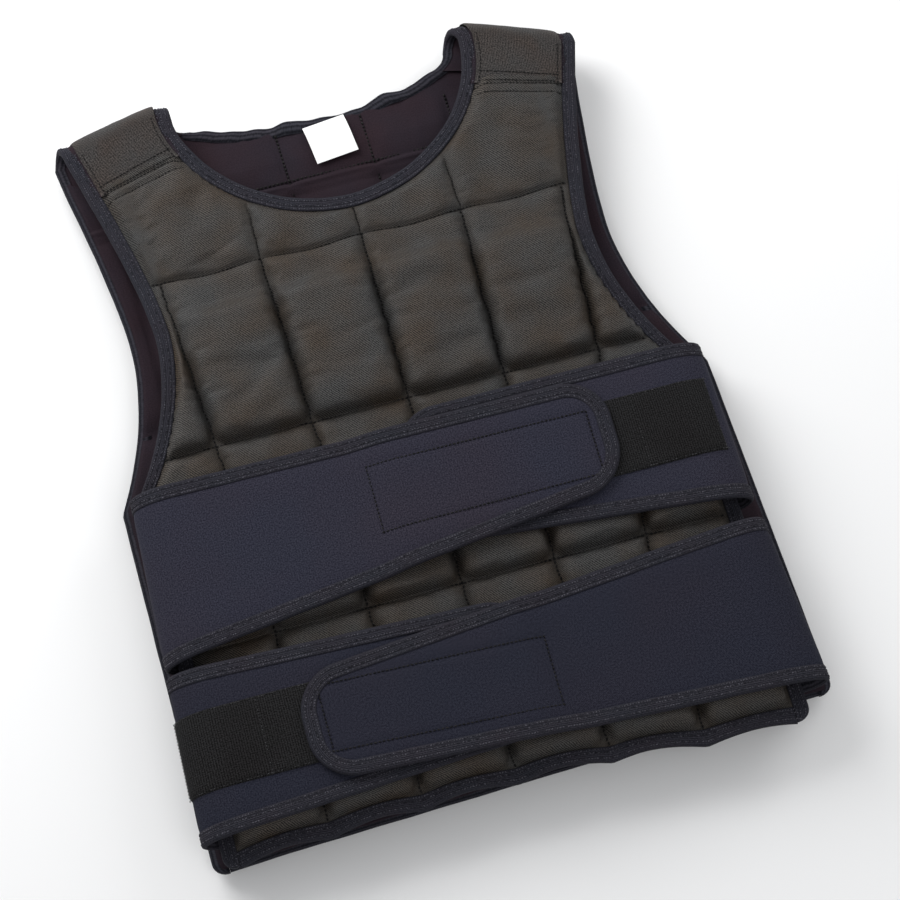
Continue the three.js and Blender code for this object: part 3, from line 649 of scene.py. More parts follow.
def stitch_rule():
    """Geometry rule: a stitch at every pitch along each line, lying on the cloth."""
    tree = bpy.data.node_groups.new("stitches", "GeometryNodeTree")
    face = tree.interface
    face.new_socket("Geometry", in_out="INPUT", socket_type="NodeSocketGeometry")
    for name, value in (("Pitch", 0.003), ("Length", 0.0026), ("Width", 0.0007), ("Slant", 0.0)):
        face.new_socket(name, in_out="INPUT", socket_type="NodeSocketFloat").default_value = value
    face.new_socket("Seed", in_out="INPUT", socket_type="NodeSocketInt").default_value = 3
    face.new_socket("Thread", in_out="INPUT", socket_type="NodeSocketMaterial")
    face.new_socket("Geometry", in_out="OUTPUT", socket_type="NodeSocketGeometry")
    enter = tree.nodes.new("NodeGroupInput").outputs
    lines = add_node(tree, "GeometryNodeMeshToCurve", {"Mesh": enter["Geometry"]})
    spaced = add_node(tree, "GeometryNodeResampleCurve", {
        "Curve": lines.outputs["Curve"], "Length": enter["Pitch"],
    }, mode="LENGTH")
    tangent = add_node(tree, "GeometryNodeInputTangent", {})
    ahead = add_node(tree, "FunctionNodeAlignRotationToVector", {
        "Vector": tangent.outputs["Tangent"],
    }, axis="X")
    upright = add_node(tree, "GeometryNodeInputNamedAttribute", {"Name": "up"}, data_type="FLOAT_VECTOR")
    level = add_node(tree, "FunctionNodeAlignRotationToVector", {
        "Rotation": ahead.outputs["Rotation"], "Vector": upright.outputs["Attribute"],
    }, axis="Z", pivot_axis="X")
    number = add_node(tree, "GeometryNodeInputIndex", {})
    parity = add_node(tree, "ShaderNodeMath", {0: number.outputs["Index"], 1: 2}, operation="MODULO")
    signed = add_node(tree, "ShaderNodeMath", {0: parity.outputs["Value"], 1: 2, 2: -1},
                      operation="MULTIPLY_ADD")
    slanted = add_node(tree, "ShaderNodeMath", {0: signed.outputs["Value"], 1: enter["Slant"]},
                       operation="MULTIPLY")
    shaken = add_node(tree, "FunctionNodeRandomValue", {2: -0.22, 3: 0.22, "Seed": enter["Seed"]})
    angle = add_node(tree, "ShaderNodeMath", {0: slanted.outputs["Value"], 1: shaken.outputs[1]})
    euler = add_node(tree, "ShaderNodeCombineXYZ", {"Z": angle.outputs["Value"]})
    by = add_node(tree, "FunctionNodeEulerToRotation", {"Euler": euler.outputs["Vector"]})
    turned_by = add_node(tree, "FunctionNodeRotateRotation", {
        "Rotation": level.outputs["Rotation"], "Rotate By": by.outputs["Rotation"],
    }, rotation_space="LOCAL")
    bead = add_node(tree, "GeometryNodeMeshUVSphere", {"Segments": 5, "Rings": 3, "Radius": 0.5})
    size = add_node(tree, "ShaderNodeCombineXYZ", {
        "X": enter["Length"], "Y": enter["Width"], "Z": enter["Width"],
    })
    placed = add_node(tree, "GeometryNodeInstanceOnPoints", {
        "Points": spaced.outputs["Curve"], "Instance": bead.outputs["Mesh"],
        "Rotation": turned_by.outputs["Rotation"], "Scale": size.outputs["Vector"],
    })
    real = add_node(tree, "GeometryNodeRealizeInstances", {"Geometry": placed.outputs["Instances"]})
    coloured = add_node(tree, "GeometryNodeSetMaterial", {
        "Geometry": real.outputs["Geometry"], "Material": enter["Thread"],
    })
    add_node(tree, "NodeGroupOutput", {"Geometry": coloured.outputs["Geometry"]})
    return tree


stitches = stitch_rule()


def thread_material(name, dark, light):
    """Spun thread, a little lighter here and there."""
    material, tree, shader = new_material(name)
    place = add_node(tree, "ShaderNodeTexCoord", {}).outputs["Object"]
    spots = add_node(tree, "ShaderNodeTexNoise", {"Scale": 420, "Vector": place})
    colour = tone_ramp(tree, spots.outputs["Fac"], dark, light, 0.4, 0.62)
    tree.links.new(colour, shader.inputs["Base Color"])
    shader.inputs["Roughness"].default_value = 0.7
    shader.inputs["Specular IOR Level"].default_value = 0.15
    return material


def sew(name, rows, pitch, length, width, slant, thread, seed=3):
    """Stitches along rows, each of which is its points in millimetres and their upward way."""
    mesh = bpy.data.meshes.new(name)
    points, ups, edges = [], [], []
    for row, up in rows:
        first = len(points)
        points.extend((np.asarray(row) / 1000).tolist())
        ups.extend(np.broadcast_to(up, np.shape(row)).tolist())
        edges.extend((first + k, first + k + 1) for k in range(len(row) - 1))
    mesh.from_pydata(points, edges, [])
    layer = mesh.attributes.new("up", "FLOAT_VECTOR", "POINT")
    layer.data.foreach_set("vector", np.ravel(ups))
    made = bpy.data.objects.new(name, mesh)
    bpy.context.scene.collection.objects.link(made)
    rule = made.modifiers.new("stitches", "NODES")
    rule.node_group = stitches
    settings = {
        "Pitch": pitch / 1000, "Length": length / 1000, "Width": width / 1000,
        "Slant": slant, "Seed": seed, "Thread": thread,
    }
    for item in stitches.interface.items_tree:
        if item.in_out == "INPUT" and item.name in settings:
            rule[item.identifier] = settings[item.name]
    made.data.update()
    bpy.context.view_layer.update()
    sewn = bpy.data.meshes.new_from_object(made.evaluated_get(bpy.context.evaluated_depsgraph_get()))
    made.modifiers.clear()
    made.data = sewn
    sewn.shade_smooth()
    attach(made, "root")


black_thread = thread_material("black_thread", (0.003, 0.003, 0.003), (0.016, 0.015, 0.015))
quilting = []
seam_heights = np.arange(13, top_seam, 4.0)
for seam in range(-2, 3):
    across = np.sign(seam) * front_seam(abs(seam), seam_heights)
    across = across + seam_wander(np.full_like(seam_heights, seam), seam_heights)
    quilting.append((panel_place(front, across, seam_heights, 4.0), (0, 0, 1)))
for seam, last in ((-1, 511), (0, 497), (1, 511)):
    heights = np.arange(top_seam, last, 4.0)
    across = seam * (front_seam(1, heights) - 0.07 * (heights - top_seam))
    across = across + seam_wander(np.full_like(heights, seam), heights)
    quilting.append((panel_place(front, across, heights, 4.0), (0, 0, 1)))
for crease in creases[1:].tolist():
    reach = float(half_width(front, crease)) - binding_width - 2
    across = np.arange(-reach, reach, 3.0)
    heights = np.full_like(across, crease)
    if crease == top_seam:
        share = across / float(front_seam(1, crease))
        heights = heights - 2.6 * np.sin(np.pi * share) ** 2
    heights = heights + 0.8 * soft_noise(across / 8, seed=crease / 7)
    quilting.append((panel_place(front, across, heights, 3.9), (0, 0, 1)))
sew("lining_thread", lining_rows, 3.4, 3.3, 2.2, 0.1, black_thread)
sew("quilting_thread", quilting, 3.4, 3.3, 1.7, 0.14, black_thread)

# Shoulder straps
# Padded straps that go on from the front, fold over at the top and come down to the back.
# A brushed loop patch is sewn over each.

turn_pivot = (front["neck_half"] + front["shoulder"]) / 2
shoulders = {"left": {"side": -1, "turn": 0.14}, "right": {"side": 1, "turn": -0.03}}


def neck_angle(shape, height, inset):
    share = np.clip((inner_fold - height) / (shape["neck_depth"] + inset), 0, 1)
    return math.acos(share ** (neck_power / 2))


def strap_route(shoulder, inset, arm_steps=10, bend_steps=26):
    """Both edges of a strap along its route, with its outward normal, from its seam on the
    front, over the fold, to its seam on the back."""
    side, turn = shoulder["side"], shoulder["turn"]
    inner, outer, normals = [], [], []

    def add(into, share, across, shift, height, level):
        into.append((side * across + shift + middle_shift,
                     height + turn * (across - turn_pivot) * share - vest_length / 2, level))

    def arm(shape, share):
        angle = neck_angle(shape, shape["seam_inner"], edge_inset)
        angle = angle + (math.pi / 2 - angle) * share
        across = (shape["neck_half"] + inset) * math.sin(angle) ** (2 / neck_power)
        height = inner_fold - (shape["neck_depth"] + inset) * max(math.cos(angle), 0) ** (2 / neck_power)
        add(inner, share, across, float(panel_shift(shape, height)), height, shape["level"])
        height = shape["seam_outer"] + (outer_fold - shape["seam_outer"]) * share
        across = float(half_width(shape, height)) - inset
        add(outer, share, across, float(panel_shift(shape, height)), height, shape["level"])
        normals.append((0, 0, shape["face"]))

    for share in np.linspace(0, 1, arm_steps):
        arm(front, share)
    for share in np.linspace(0, 1, bend_steps)[1:-1]:
        angle = share * math.pi
        forward = fold_radius * math.sin(angle)
        level = (front_level + back_level) / 2 + fold_radius * math.cos(angle)
        for into, name, change, height in (
            (inner, "neck_half", inset, inner_fold),
            (outer, "shoulder", -inset, outer_fold),
        ):
            across = front[name] + (back[name] - front[name]) * share + change
            front_shift, back_shift = (float(panel_shift(p, height)) for p in (front, back))
            shift = front_shift * (1 - share) + back_shift * share
            add(into, 1, across, shift, height + forward, level)
        normals.append((0, math.sin(angle), math.cos(angle)))
    for share in np.linspace(1, 0, arm_steps):
        arm(back, share)
    return np.array(inner), np.array(outer), np.array(normals, float)


brushed = cloth_material(
    "brushed_cloth", (0.014, 0.0135, 0.0135), (0.062, 0.059, 0.058),
    {"Slant": 0.3, "Rib Scale": 150.0, "Thread Scale": 170.0, "Roughness": 0.85},
    0.0008, 0.95, patch=(1.15, 0.88, 0.74), patch_scale=24, sheen=0.1, blotch=0.8,
)


def laid_on(cloths, row, lift=0.25, reach=6):
    """A row of points dropped from above onto the finished cloths under it."""
    bpy.context.view_layer.update()
    graph = bpy.context.evaluated_depsgraph_get()
    trees = [BVHTree.FromObject(cloth, graph) for cloth in cloths]
    laid = []
    for x, y, z in np.asarray(row):
        hits = [tree.ray_cast((x / 1000, y / 1000, 0.2), (0, 0, -1))[0] for tree in trees]
        levels = [hit.z * 1000 for hit in hits if hit is not None]
        if levels and abs(max(levels) - z) < reach:
            laid.append((x, y, max(levels) + lift))
    return np.array(laid)


def closed_skin(top, bottom):
    """Points and faces of two grids that are closed along their rim."""
    rows, columns = top.shape[:2]
    points = np.concatenate([top.reshape(-1, 3), bottom.reshape(-1, 3)])
    faces = grid_faces(rows, columns)
    faces += [f[::-1] for f in grid_faces(rows, columns, first=rows * columns)]
    rim = [(r, 0) for r in range(rows)] + [(rows - 1, c) for c in range(1, columns)]
    rim += [(r, columns - 1) for r in range(rows - 2, -1, -1)]
    rim += [(0, c) for c in range(columns - 2, 0, -1)]
    numbers = [r * columns + c for r, c in rim]
    for here, there in zip(numbers, numbers[1:] + numbers[:1]):
        faces.append((here, here + rows * columns, there + rows * columns, there))
    return points, faces


def strap_skin(name, shoulder, low, high, material, inset, bulge):
    """A layer of a strap between two distances from its middle, as a closed shape."""
    inner, outer, normals = strap_route(shoulder, inset)
    across = np.concatenate([[0, 0.02, 0.05, 0.1], np.linspace(0.17, 0.83, 13), [0.9, 0.95, 0.98, 1]])
    long = np.arange(len(inner)) * 4.0
    middle = inner[:, None, :] * (1 - across)[None, :, None] + outer[:, None, :] * across[None, :, None]
    width = np.linalg.norm(outer - inner, axis=1)
    edge = np.minimum(across, 1 - across)[None, :] * width[:, None]
    swell = rounded(edge, 14, 2.0)
    rough_top = 0.8 * soft_noise(across[None, :] * 5, long[:, None] / 18, seed=11.0)
    top = middle + normals[:, None, :] * (high + bulge * (swell - 1) + rough_top * swell)[..., None]
    bottom = middle + normals[:, None, :] * (low - bulge * 0.5 * (swell - 1))[..., None]
    points, faces = closed_skin(top, bottom)
    flat = np.stack(
        [np.broadcast_to(across[None, :] * width[:, None], top.shape[:2]),
         np.broadcast_to(long[:, None], top.shape[:2])], -1
    ).reshape(-1, 2)
    flat = np.concatenate([flat, flat])
    made = cloth_mesh(name, points, faces, material, flat)
    if shoulder["side"] > 0:
        made.data.flip_normals()
    return made


for word, shoulder in shoulders.items():
    strap = strap_skin(f"strap_{word}", shoulder, -4, 4, lining, 8, 1.6)
    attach(strap, "root")
    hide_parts(f"shoulder_strap_{word}")
    cover = strap_skin(f"strap_cover_{word}", shoulder, 4.1, 6.9, brushed, 12.0, 1.7)
    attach(cover, "root")
    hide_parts(f"shoulder_cover_{word}")
    inner, outer, normals = strap_route(shoulder, 15.5, arm_steps=24)
    rows = [inner[1:23], outer[1:23]]
    share = np.linspace(0, 1, 40)[:, None]
    rows += [inner[row] * (1 - share) + outer[row] * share for row in (1, 5)]
    rows = [row + np.array([0, 0, 6.5]) for row in rows]
    for seam_gap in (4, 12):
        across = shoulder["side"] * np.arange(124, 208, 3.0)
        heights = strap_seam(across) - seam_gap
        inside = neck_reach(front, across, heights, 13) > 0
        inside &= np.abs(across) < half_width(front, heights) - 13
        rows.append(panel_place(front, across, heights, 7.5)[inside])
    border = [(laid_on((front_shell, strap, cover), row), (0, 0, 1)) for row in rows]
    sew(f"strap_thread_{word}", border, 3.0, 2.8, 1.1, 0.0, black_thread)

# Bound edges
# Dark knitted tape, folded over every edge and sewn down with a wide stitch, so it stands
# out a little, with a groove along each row of stitches.

tape = cloth_material(
    "binding_tape", (0.006, 0.0065, 0.010), (0.033, 0.034, 0.044),
    {"Slant": 0.0, "Rib Scale": 240.0, "Thread Scale": 300.0, "Roughness": 0.6},
    0.0004, 0.85, patch=(1.15, 0.92, 0.92), blotch=0.6, patch_scale=24,
)
grey_thread = thread_material("grey_thread", (0.007, 0.007, 0.011), (0.085, 0.083, 0.100))
tape_rows = []


def bound_edge(name, rims, roots, normals, thickness=5.4, ring=False, seed=0.0):
    """Tape folded round an edge that is given by its rim, its root and its normal."""
    rims, roots, normals = (np.asarray(a, float) for a in (rims, roots, normals))
    inward = roots - rims
    width = np.linalg.norm(inward, axis=1, keepdims=True)
    inward = inward / width
    ahead = np.linalg.norm(np.diff(rims, axis=0, append=rims[:1] if ring else rims[-1:]), axis=1)
    along = np.concatenate([[0], np.cumsum(ahead)[:-1]])
    half = thickness / 2
    profile = np.array(
        [
            (1.00, half - 1.0, 0), (1.00, half + 0.1, 1), (0.94, half + 0.5, 2), (0.80, half + 0.45, 3),
            (0.70, half + 0.05, 4), (0.60, half + 0.55, 5), (0.45, half + 0.6, 6), (0.32, half + 0.15, 7),
            (0.22, half + 0.5, 8), (0.10, half + 0.15, 9), (0.03, half - 1.0, 10), (0.0, 0.0, 11),
            (0.03, -half + 1.0, 12), (0.12, -half, 13), (0.5, -half - 0.2, 14), (1.0, -half, 15),
        ]
    )
    ripple = soft_noise(along / 9, seed=seed) * 0.35
    drift = soft_noise(along / 26, seed=seed + 20) * 0.5
    points = (
        rims[:, None, :]
        + inward[:, None, :] * (profile[None, :, 0:1] * width[:, None, :] + drift[:, None, None] * 0.6)
        + normals[:, None, :]
        * (profile[None, :, 1:2] + np.sign(profile[None, :, 1:2]) * ripple[:, None, None])
    )
    rows, columns = points.shape[:2]
    faces = grid_faces(rows, columns, ring_rows=ring, ring_columns=True)
    if not ring:
        faces.append(tuple(range(columns)))
        faces.append(tuple(range((rows - 1) * columns, rows * columns))[::-1])
    flat = np.stack(
        [np.broadcast_to(profile[None, :, 2] * 1.6, (rows, columns)),
         np.broadcast_to(along[:, None], (rows, columns))], -1
    )
    shown = normals[:, 2] > -0.2
    breaks = np.flatnonzero(np.diff(np.concatenate([[0], shown.astype(int), [0]])))
    for share in (0.87, 0.66, 0.28):
        line = rims + inward * (share * width + drift[:, None] * 0.6)
        line = line + normals * (half + 0.45 + ripple[:, None])
        for start, stop in zip(breaks[::2], breaks[1::2]):
            if stop - start > 3:
                tape_rows.append((line[start:stop], normals[start:stop]))
    made = cloth_mesh(name, points, faces, tape, flat)
    if sum_volume(points, faces) < 0:
        made.data.flip_normals()
    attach(made, "root")
    return made


def sum_volume(points, faces):
    """Signed volume inside faces, which tells which way they point."""
    flat = points.reshape(-1, 3)
    total = 0.0
    for face in faces:
        for second, third in zip(face[1:-1], face[2:]):
            total += np.dot(flat[face[0]], np.cross(flat[second], flat[third]))
    return total


def panel_edge(shape, side, heights):
    """Rim, root and normal of a panel's side edge at these heights."""
    rim = half_width(shape, heights)
    root = half_width(shape, np.maximum(heights, edge_inset)) - binding_width
    rims = panel_place(shape, side * rim, heights)
    roots = panel_place(shape, side * root, heights)
    normals = np.tile([0, 0, shape["face"]], (len(heights), 1))
    return rims, roots, normals.astype(float)


for word, shoulder in shoulders.items():
    corner = hem_corner_radius * (1 - np.cos(np.linspace(0, math.pi / 2, 7)))[:-1]
    parts = [panel_edge(front, shoulder["side"], np.concatenate([corner, np.linspace(10, 556, 150)]))]
    rim_route = strap_route(shoulder, 0)
    root_route = strap_route(shoulder, binding_width)
    parts.append((rim_route[1], root_route[1], rim_route[2]))
    back_edge = panel_edge(back, shoulder["side"], np.concatenate([corner, np.linspace(10, 576, 150)]))
    parts.append(tuple(a[::-1] for a in back_edge))
    rims, roots, normals = (np.concatenate([p[k] for p in parts]) for k in range(3))
    side_edge = bound_edge(f"side_tape_{word}", rims, roots, normals, seed=shoulder["side"] * 3.0)
    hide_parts(f"side_binding_{word}")


def neckline(shape, steps):
    """Rim, root and normal of a panel's neckline from its left to its right."""
    last = neck_angle(shape, shape["seam_inner"] - 0.3, edge_inset)
    angles = np.linspace(-last, last, steps)
    power = 2 / neck_power
    stations = []
    for inset in (0, binding_width):
        across = np.sign(angles) * (shape["neck_half"] + inset) * np.sin(np.abs(angles)) ** power
        height = inner_fold - (shape["neck_depth"] + inset) * np.cos(angles) ** power
        if inset == 0:
            shift = panel_shift(shape, height)
        stations.append(
            np.stack(
                [across + shift + middle_shift, height - vest_length / 2, np.full(steps, shape["level"])],
                -1,
            )
        )
    return stations[0], stations[1], np.tile([0, 0, float(shape["face"])], (steps, 1))


parts = [neckline(front, 90)]
for word, ordered in (("right", 1), ("back", 0), ("left", -1)):
    if word == "back":
        parts.append(tuple(a[::-1] for a in neckline(back, 80)))
        continue
    rim_route = strap_route(shoulders[word], 0)
    root_route = strap_route(shoulders[word], binding_width)
    parts.append(tuple(a[::ordered] for a in (rim_route[0], root_route[0], rim_route[2])))
rims, roots, normals = (np.concatenate([p[k] for p in parts]) for k in range(3))
wave = soft_noise(rims[:, 0] / 17, rims[:, 2] / 30, seed=6.0)
on_back = (rims[:, 2] < 25)[:, None]
rims = rims + on_back * np.stack([0 * wave, 3.0 * wave, 1.5 * wave], -1)
roots = roots + on_back * np.stack([0 * wave, 1.5 * wave, 1.5 * wave], -1)
neck_edge = bound_edge("neck_tape", rims, roots, normals, ring=True, seed=8.0)
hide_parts("neck_binding")

hem_steps = 180
for shape, name in ((front, "front_hem"), (back, "back_hem")):
    last = float(half_width(shape, edge_inset)) - edge_inset
    across = np.linspace(-last, last, hem_steps)
    rims = panel_place(shape, across, np.zeros(hem_steps))
    roots = panel_place(shape, across, np.full(hem_steps, float(binding_width)))
    if shape is front:
        wave = np.abs(np.sin(np.pi * across / pocket_pitch))
        for edge, amount in ((rims, 1.0), (roots, 0.5)):
            edge[:, 1] += amount * (4.5 * wave - 2)
            edge[:, 2] += 2.2 * wave
    normals = np.tile([0, 0, float(shape["face"])], (hem_steps, 1))
    hem = bound_edge(f"{name}_tape", rims, roots, normals, seed=12.0)
    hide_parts(f"{name}_binding")

sew("vest_tape_thread", tape_rows, 2.2, 2.3, 0.9, 0.6, grey_thread)

# Belts
# Four pieces of navy neoprene, faced with fine knit. Each is sewn inside the back panel,
# comes round the side and ends on the front. The left one laps over at the top, the right
# one below. Their edges are bound like the vest's.

belt_fold = 234
belt_root = 190
tab_reach = 146
tab_radius = 34
belt_root_level = 22.6
belt_level = 60.6
over_level = 66.7
under_end = 20
belts = {
    "upper_belt_left": {
        "side": -1, "over": True, "low": 159, "low_tilt": 0.127, "out_low": 1,
        "high": 301, "high_tilt": -0.01, "out_high": -4,
    },
    "upper_belt_right": {
        "side": 1, "over": False, "low": 173, "low_tilt": 0.1, "out_low": 2, "end": -20,
        "high": 309, "high_tilt": 0.0, "out_high": -2,
    },
    "lower_belt_right": {
        "side": 1, "over": True, "low": 20, "low_tilt": 0.052, "out_low": 15,
        "high": 158, "high_tilt": -0.09, "out_high": 4,
    },
    "lower_belt_left": {
        "side": -1, "over": False, "low": 20, "low_tilt": 0.055, "out_low": 6, "end": -42,
        "high": 154, "high_tilt": -0.04, "out_high": 2,
    },
}
neoprene = cloth_material(
    "neoprene", (0.0105, 0.0110, 0.0200), (0.033, 0.034, 0.051),
    {"Slant": 0.4, "Rib Scale": 260.0, "Thread Scale": 240.0, "Roughness": 0.85},
    0.0002, 0.9, patch=(1.2, 0.97, 0.9), blotch=0.8, patch_scale=7,
)
# The same neoprene, made darker for the two lower belts: painted shade, not a different cloth.
lower_neoprene = cloth_material(
    "lower_neoprene", (0.0075, 0.0085, 0.0160), (0.024, 0.026, 0.040),
    {"Slant": 0.4, "Rib Scale": 260.0, "Thread Scale": 240.0, "Roughness": 0.85},
    0.0002, 0.9, patch=(1.2, 1.0, 0.95), blotch=0.8, patch_scale=7,
)


def belt_line(belt):
    """The belt's middle line seen from the hem: distance from the middle and level."""
    fold_middle = (belt_root_level + belt_level) / 2
    line = [(belt_root, belt_root_level)]
    for angle in np.linspace(-math.pi / 2, 0, 12):
        line.append((belt_fold - 22 + 22 * math.cos(angle),
                     fold_middle + (fold_middle - belt_root_level) * math.sin(angle)))
    for angle in np.linspace(0, math.pi / 2, 16)[1:]:
        line.append((belt_fold - 31 + 31 * math.cos(angle),
                     fold_middle + (belt_level - fold_middle) * math.sin(angle)))
    is_over = belt["over"]
    end = -tab_reach if is_over else belt.get("end", under_end)
    across = np.arange(belt_fold - 35, end, -4.0)
    for place in [*across, end]:
        level = belt_level
        if is_over:
            share = float(np.clip((65 - place) / 40, 0, 1))
            level = belt_level + (over_level - belt_level) * share * share * (3 - 2 * share)
        line.append((place, level))
    return np.array(line)


def belt_frame(belt):
    """Arc length, place, normal and edges of a belt along its line."""
    line = belt_line(belt)
    ahead = np.gradient(line, axis=0)
    ahead = ahead / np.linalg.norm(ahead, axis=1, keepdims=True)
    reach = np.where(np.arange(len(line)) > 12, belt_fold - line[:, 0], 0)
    outward = np.clip((line[:, 0] - 150) / (belt_fold - 150), 0, 1)
    arc = np.concatenate([[0], np.cumsum(np.linalg.norm(np.diff(line, axis=0), axis=1))])
    return {
        "arc": arc,
        "line": line,
        "normal": np.stack([ahead[:, 1], -ahead[:, 0]], -1),
        "low": belt["low"] + belt["low_tilt"] * reach,
        "high": belt["high"] + belt["high_tilt"] * reach,
        "out_low": belt["out_low"] * outward,
        "out_high": belt["out_high"] * outward,
    }


def belt_place(belt, made, arc, height, above):
    """Points of a belt by arc length, height along the vest and distance from its middle."""
    values = [np.interp(arc, made["arc"], column) for column in (
        made["line"][:, 0], made["line"][:, 1], made["normal"][:, 0], made["normal"][:, 1],
        made["low"], made["high"], made["out_low"], made["out_high"],
    )]
    across, level, normal_across, normal_up, low, high, out_low, out_high = values
    share = (height - low) / (high - low)
    across = across + out_low + (out_high - out_low) * share
    length = np.hypot(normal_across, normal_up)
    return np.stack(
        [
            belt["side"] * (across + normal_across / length * above) + middle_shift,
            height - vest_length / 2 + np.zeros_like(above),
            level + normal_up / length * above,
        ],
        -1,
    )


stitched_frames = {
    "upper_belt_left": {"start": 48.4, "stop": -127.6, "low": (217.5, 218.0), "high": (272.0, 270.5)},
    "lower_belt_right": {"start": 46.8, "stop": -129.0, "low": (50.6, 60.4), "high": (105.5, 112.6)},
}


def frame_gap(name, across, heights):
    """Distance from the stitched rectangle on a belt, and 99 where there is none."""
    if name not in stitched_frames:
        return np.full(np.shape(across), 99.0)
    mark = stitched_frames[name]
    share = (mark["start"] - across) / (mark["start"] - mark["stop"])
    low = mark["low"][0] + (mark["low"][1] - mark["low"][0]) * share
    high = mark["high"][0] + (mark["high"][1] - mark["high"][0]) * share
    middle, half = (low + high) / 2, (high - low) / 2
    long = np.abs(share - 0.5) * (mark["start"] - mark["stop"]) - (mark["start"] - mark["stop"]) / 2
    tall = np.abs(heights - middle) - half
    outside = np.hypot(np.clip(long, 0, None), np.clip(tall, 0, None))
    return np.abs(outside + np.minimum(np.maximum(long, tall), 0))


tape_rows = []
frame_rows = []
for name, belt in belts.items():
    made = belt_frame(belt)
    last_arc = made["arc"][-1]
    arcs = np.unique(np.concatenate([made["arc"], np.arange(0, last_arc, 5.0)]))
    arcs = np.concatenate([arcs[arcs < last_arc - 40], np.linspace(last_arc - 40, last_arc, 24)])
    low = np.interp(arcs, made["arc"], made["low"])
    high = np.interp(arcs, made["arc"], made["high"])
    from_end = np.clip(tab_radius - (last_arc - arcs), 0, tab_radius)
    cut = tab_radius - np.sqrt(tab_radius**2 - from_end**2)
    across = np.concatenate([[0, 0.015, 0.04, 0.075, 0.12], np.linspace(0.17, 0.83, 26)])
    across = np.concatenate([across, 1 - across[4::-1]])
    inset = 7.0
    low_line = low + cut + inset
    high_line = high - cut - inset
    placed_arcs = np.minimum(arcs, last_arc - inset)
    heights = low_line[:, None] + (high_line - low_line)[:, None] * across[None, :]
    arc_grid = np.repeat(placed_arcs[:, None], len(across), 1)
    gap = np.minimum(heights - low[:, None] - cut[:, None], high[:, None] - cut[:, None] - heights)
    gap = np.minimum(gap, last_arc - arc_grid)
    swell = rounded(gap - 11, 13, 2.0)
    wavy = 0.6 * soft_noise(arc_grid / 60, heights / 50, seed=13.0 + belt["side"])
    place = np.interp(arc_grid, made["arc"], made["line"][:, 0])
    wavy = wavy - 0.7 * np.exp(-((frame_gap(name, place, heights) / 2.2) ** 2))
    top = belt_place(belt, made, arc_grid, heights, 1.0 + 1.0 * swell + wavy * swell)
    bottom = belt_place(belt, made, arc_grid, heights, np.full_like(arc_grid, -1.7))
    points, faces = closed_skin(top, bottom)
    flat = np.stack([arc_grid, heights], -1).reshape(-1, 2)
    # The lower belts take the darker copy of the neoprene, which is painted shade.
    faced = lower_neoprene if name.startswith("lower") else neoprene
    piece = cloth_mesh(name + "_neoprene", points, faces, faced, np.concatenate([flat, flat]))
    if sum_volume(points, faces) < 0:
        piece.data.flip_normals()
    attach(piece, "root")
    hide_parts(name)

    # The tape runs from the root along the lower edge, round the end, and back
    straight = np.linspace(0, last_arc - tab_radius, 120)
    low_at = np.interp(straight, made["arc"], made["low"])
    high_at = np.interp(straight, made["arc"], made["high"])
    rim_list = [np.stack([straight, low_at], -1)]
    turns = np.linspace(-math.pi / 2, 0, 24)[1:]
    root_list = [np.stack([straight, low_at + binding_width], -1)]
    for edge_name, centre, angles in (("low", tab_radius, turns), ("high", -tab_radius, -turns[::-1])):
        for into, radius in ((rim_list, tab_radius), (root_list, tab_radius - binding_width)):
            arc = last_arc - tab_radius + radius * np.cos(angles)
            edge = np.interp(arc, made["arc"], made[edge_name])
            into.append(np.stack([arc, edge + centre + radius * np.sin(angles)], -1))
    rim_list.append(np.stack([straight, high_at], -1)[::-1])
    root_list.append(np.stack([straight, high_at - binding_width], -1)[::-1])
    rim_flat, root_flat = np.concatenate(rim_list), np.concatenate(root_list)
    rims = belt_place(belt, made, rim_flat[:, 0], rim_flat[:, 1], np.zeros(len(rim_flat)))
    roots = belt_place(belt, made, root_flat[:, 0], root_flat[:, 1], np.zeros(len(root_flat)))
    lifted = belt_place(belt, made, rim_flat[:, 0], rim_flat[:, 1], np.ones(len(rim_flat)))
    belt_tape = bound_edge(
        name + "_tape", rims, roots, lifted - rims, thickness=3.6, seed=15.0 + belt["side"]
    )
    if name in stitched_frames:
        mark = stitched_frames[name]
        corners = [
            (mark["start"], mark["low"][0]), (mark["stop"], mark["low"][1]),
            (mark["stop"], mark["high"][1]), (mark["start"], mark["high"][0]),
        ]
        outline = []
        for here, there in zip(corners, corners[1:] + corners[:1]):
            share = np.linspace(0, 1, 60)[:, None]
            outline.append(np.array(here) * (1 - share) + np.array(there) * share)
        outline = np.concatenate(outline)
        outline_arc = np.interp(-outline[:, 0], -made["line"][14:, 0], made["arc"][14:])
        level = np.full(len(outline), 1.75)
        frame_rows.append((belt_place(belt, made, outline_arc, outline[:, 1], level), (0, 0, 1)))

sew("belt_tape_thread", tape_rows, 2.2, 2.3, 0.9, 0.6, grey_thread, seed=5)
sew("belt_frame_thread", frame_rows, 3.2, 3.1, 1.3, 0.1, black_thread, seed=7)

# Loop strips
# Strips of black woven loop cloth, which the other belt ends hold on to. They are sewn along
# the middle of the two belt pieces that lie underneath.

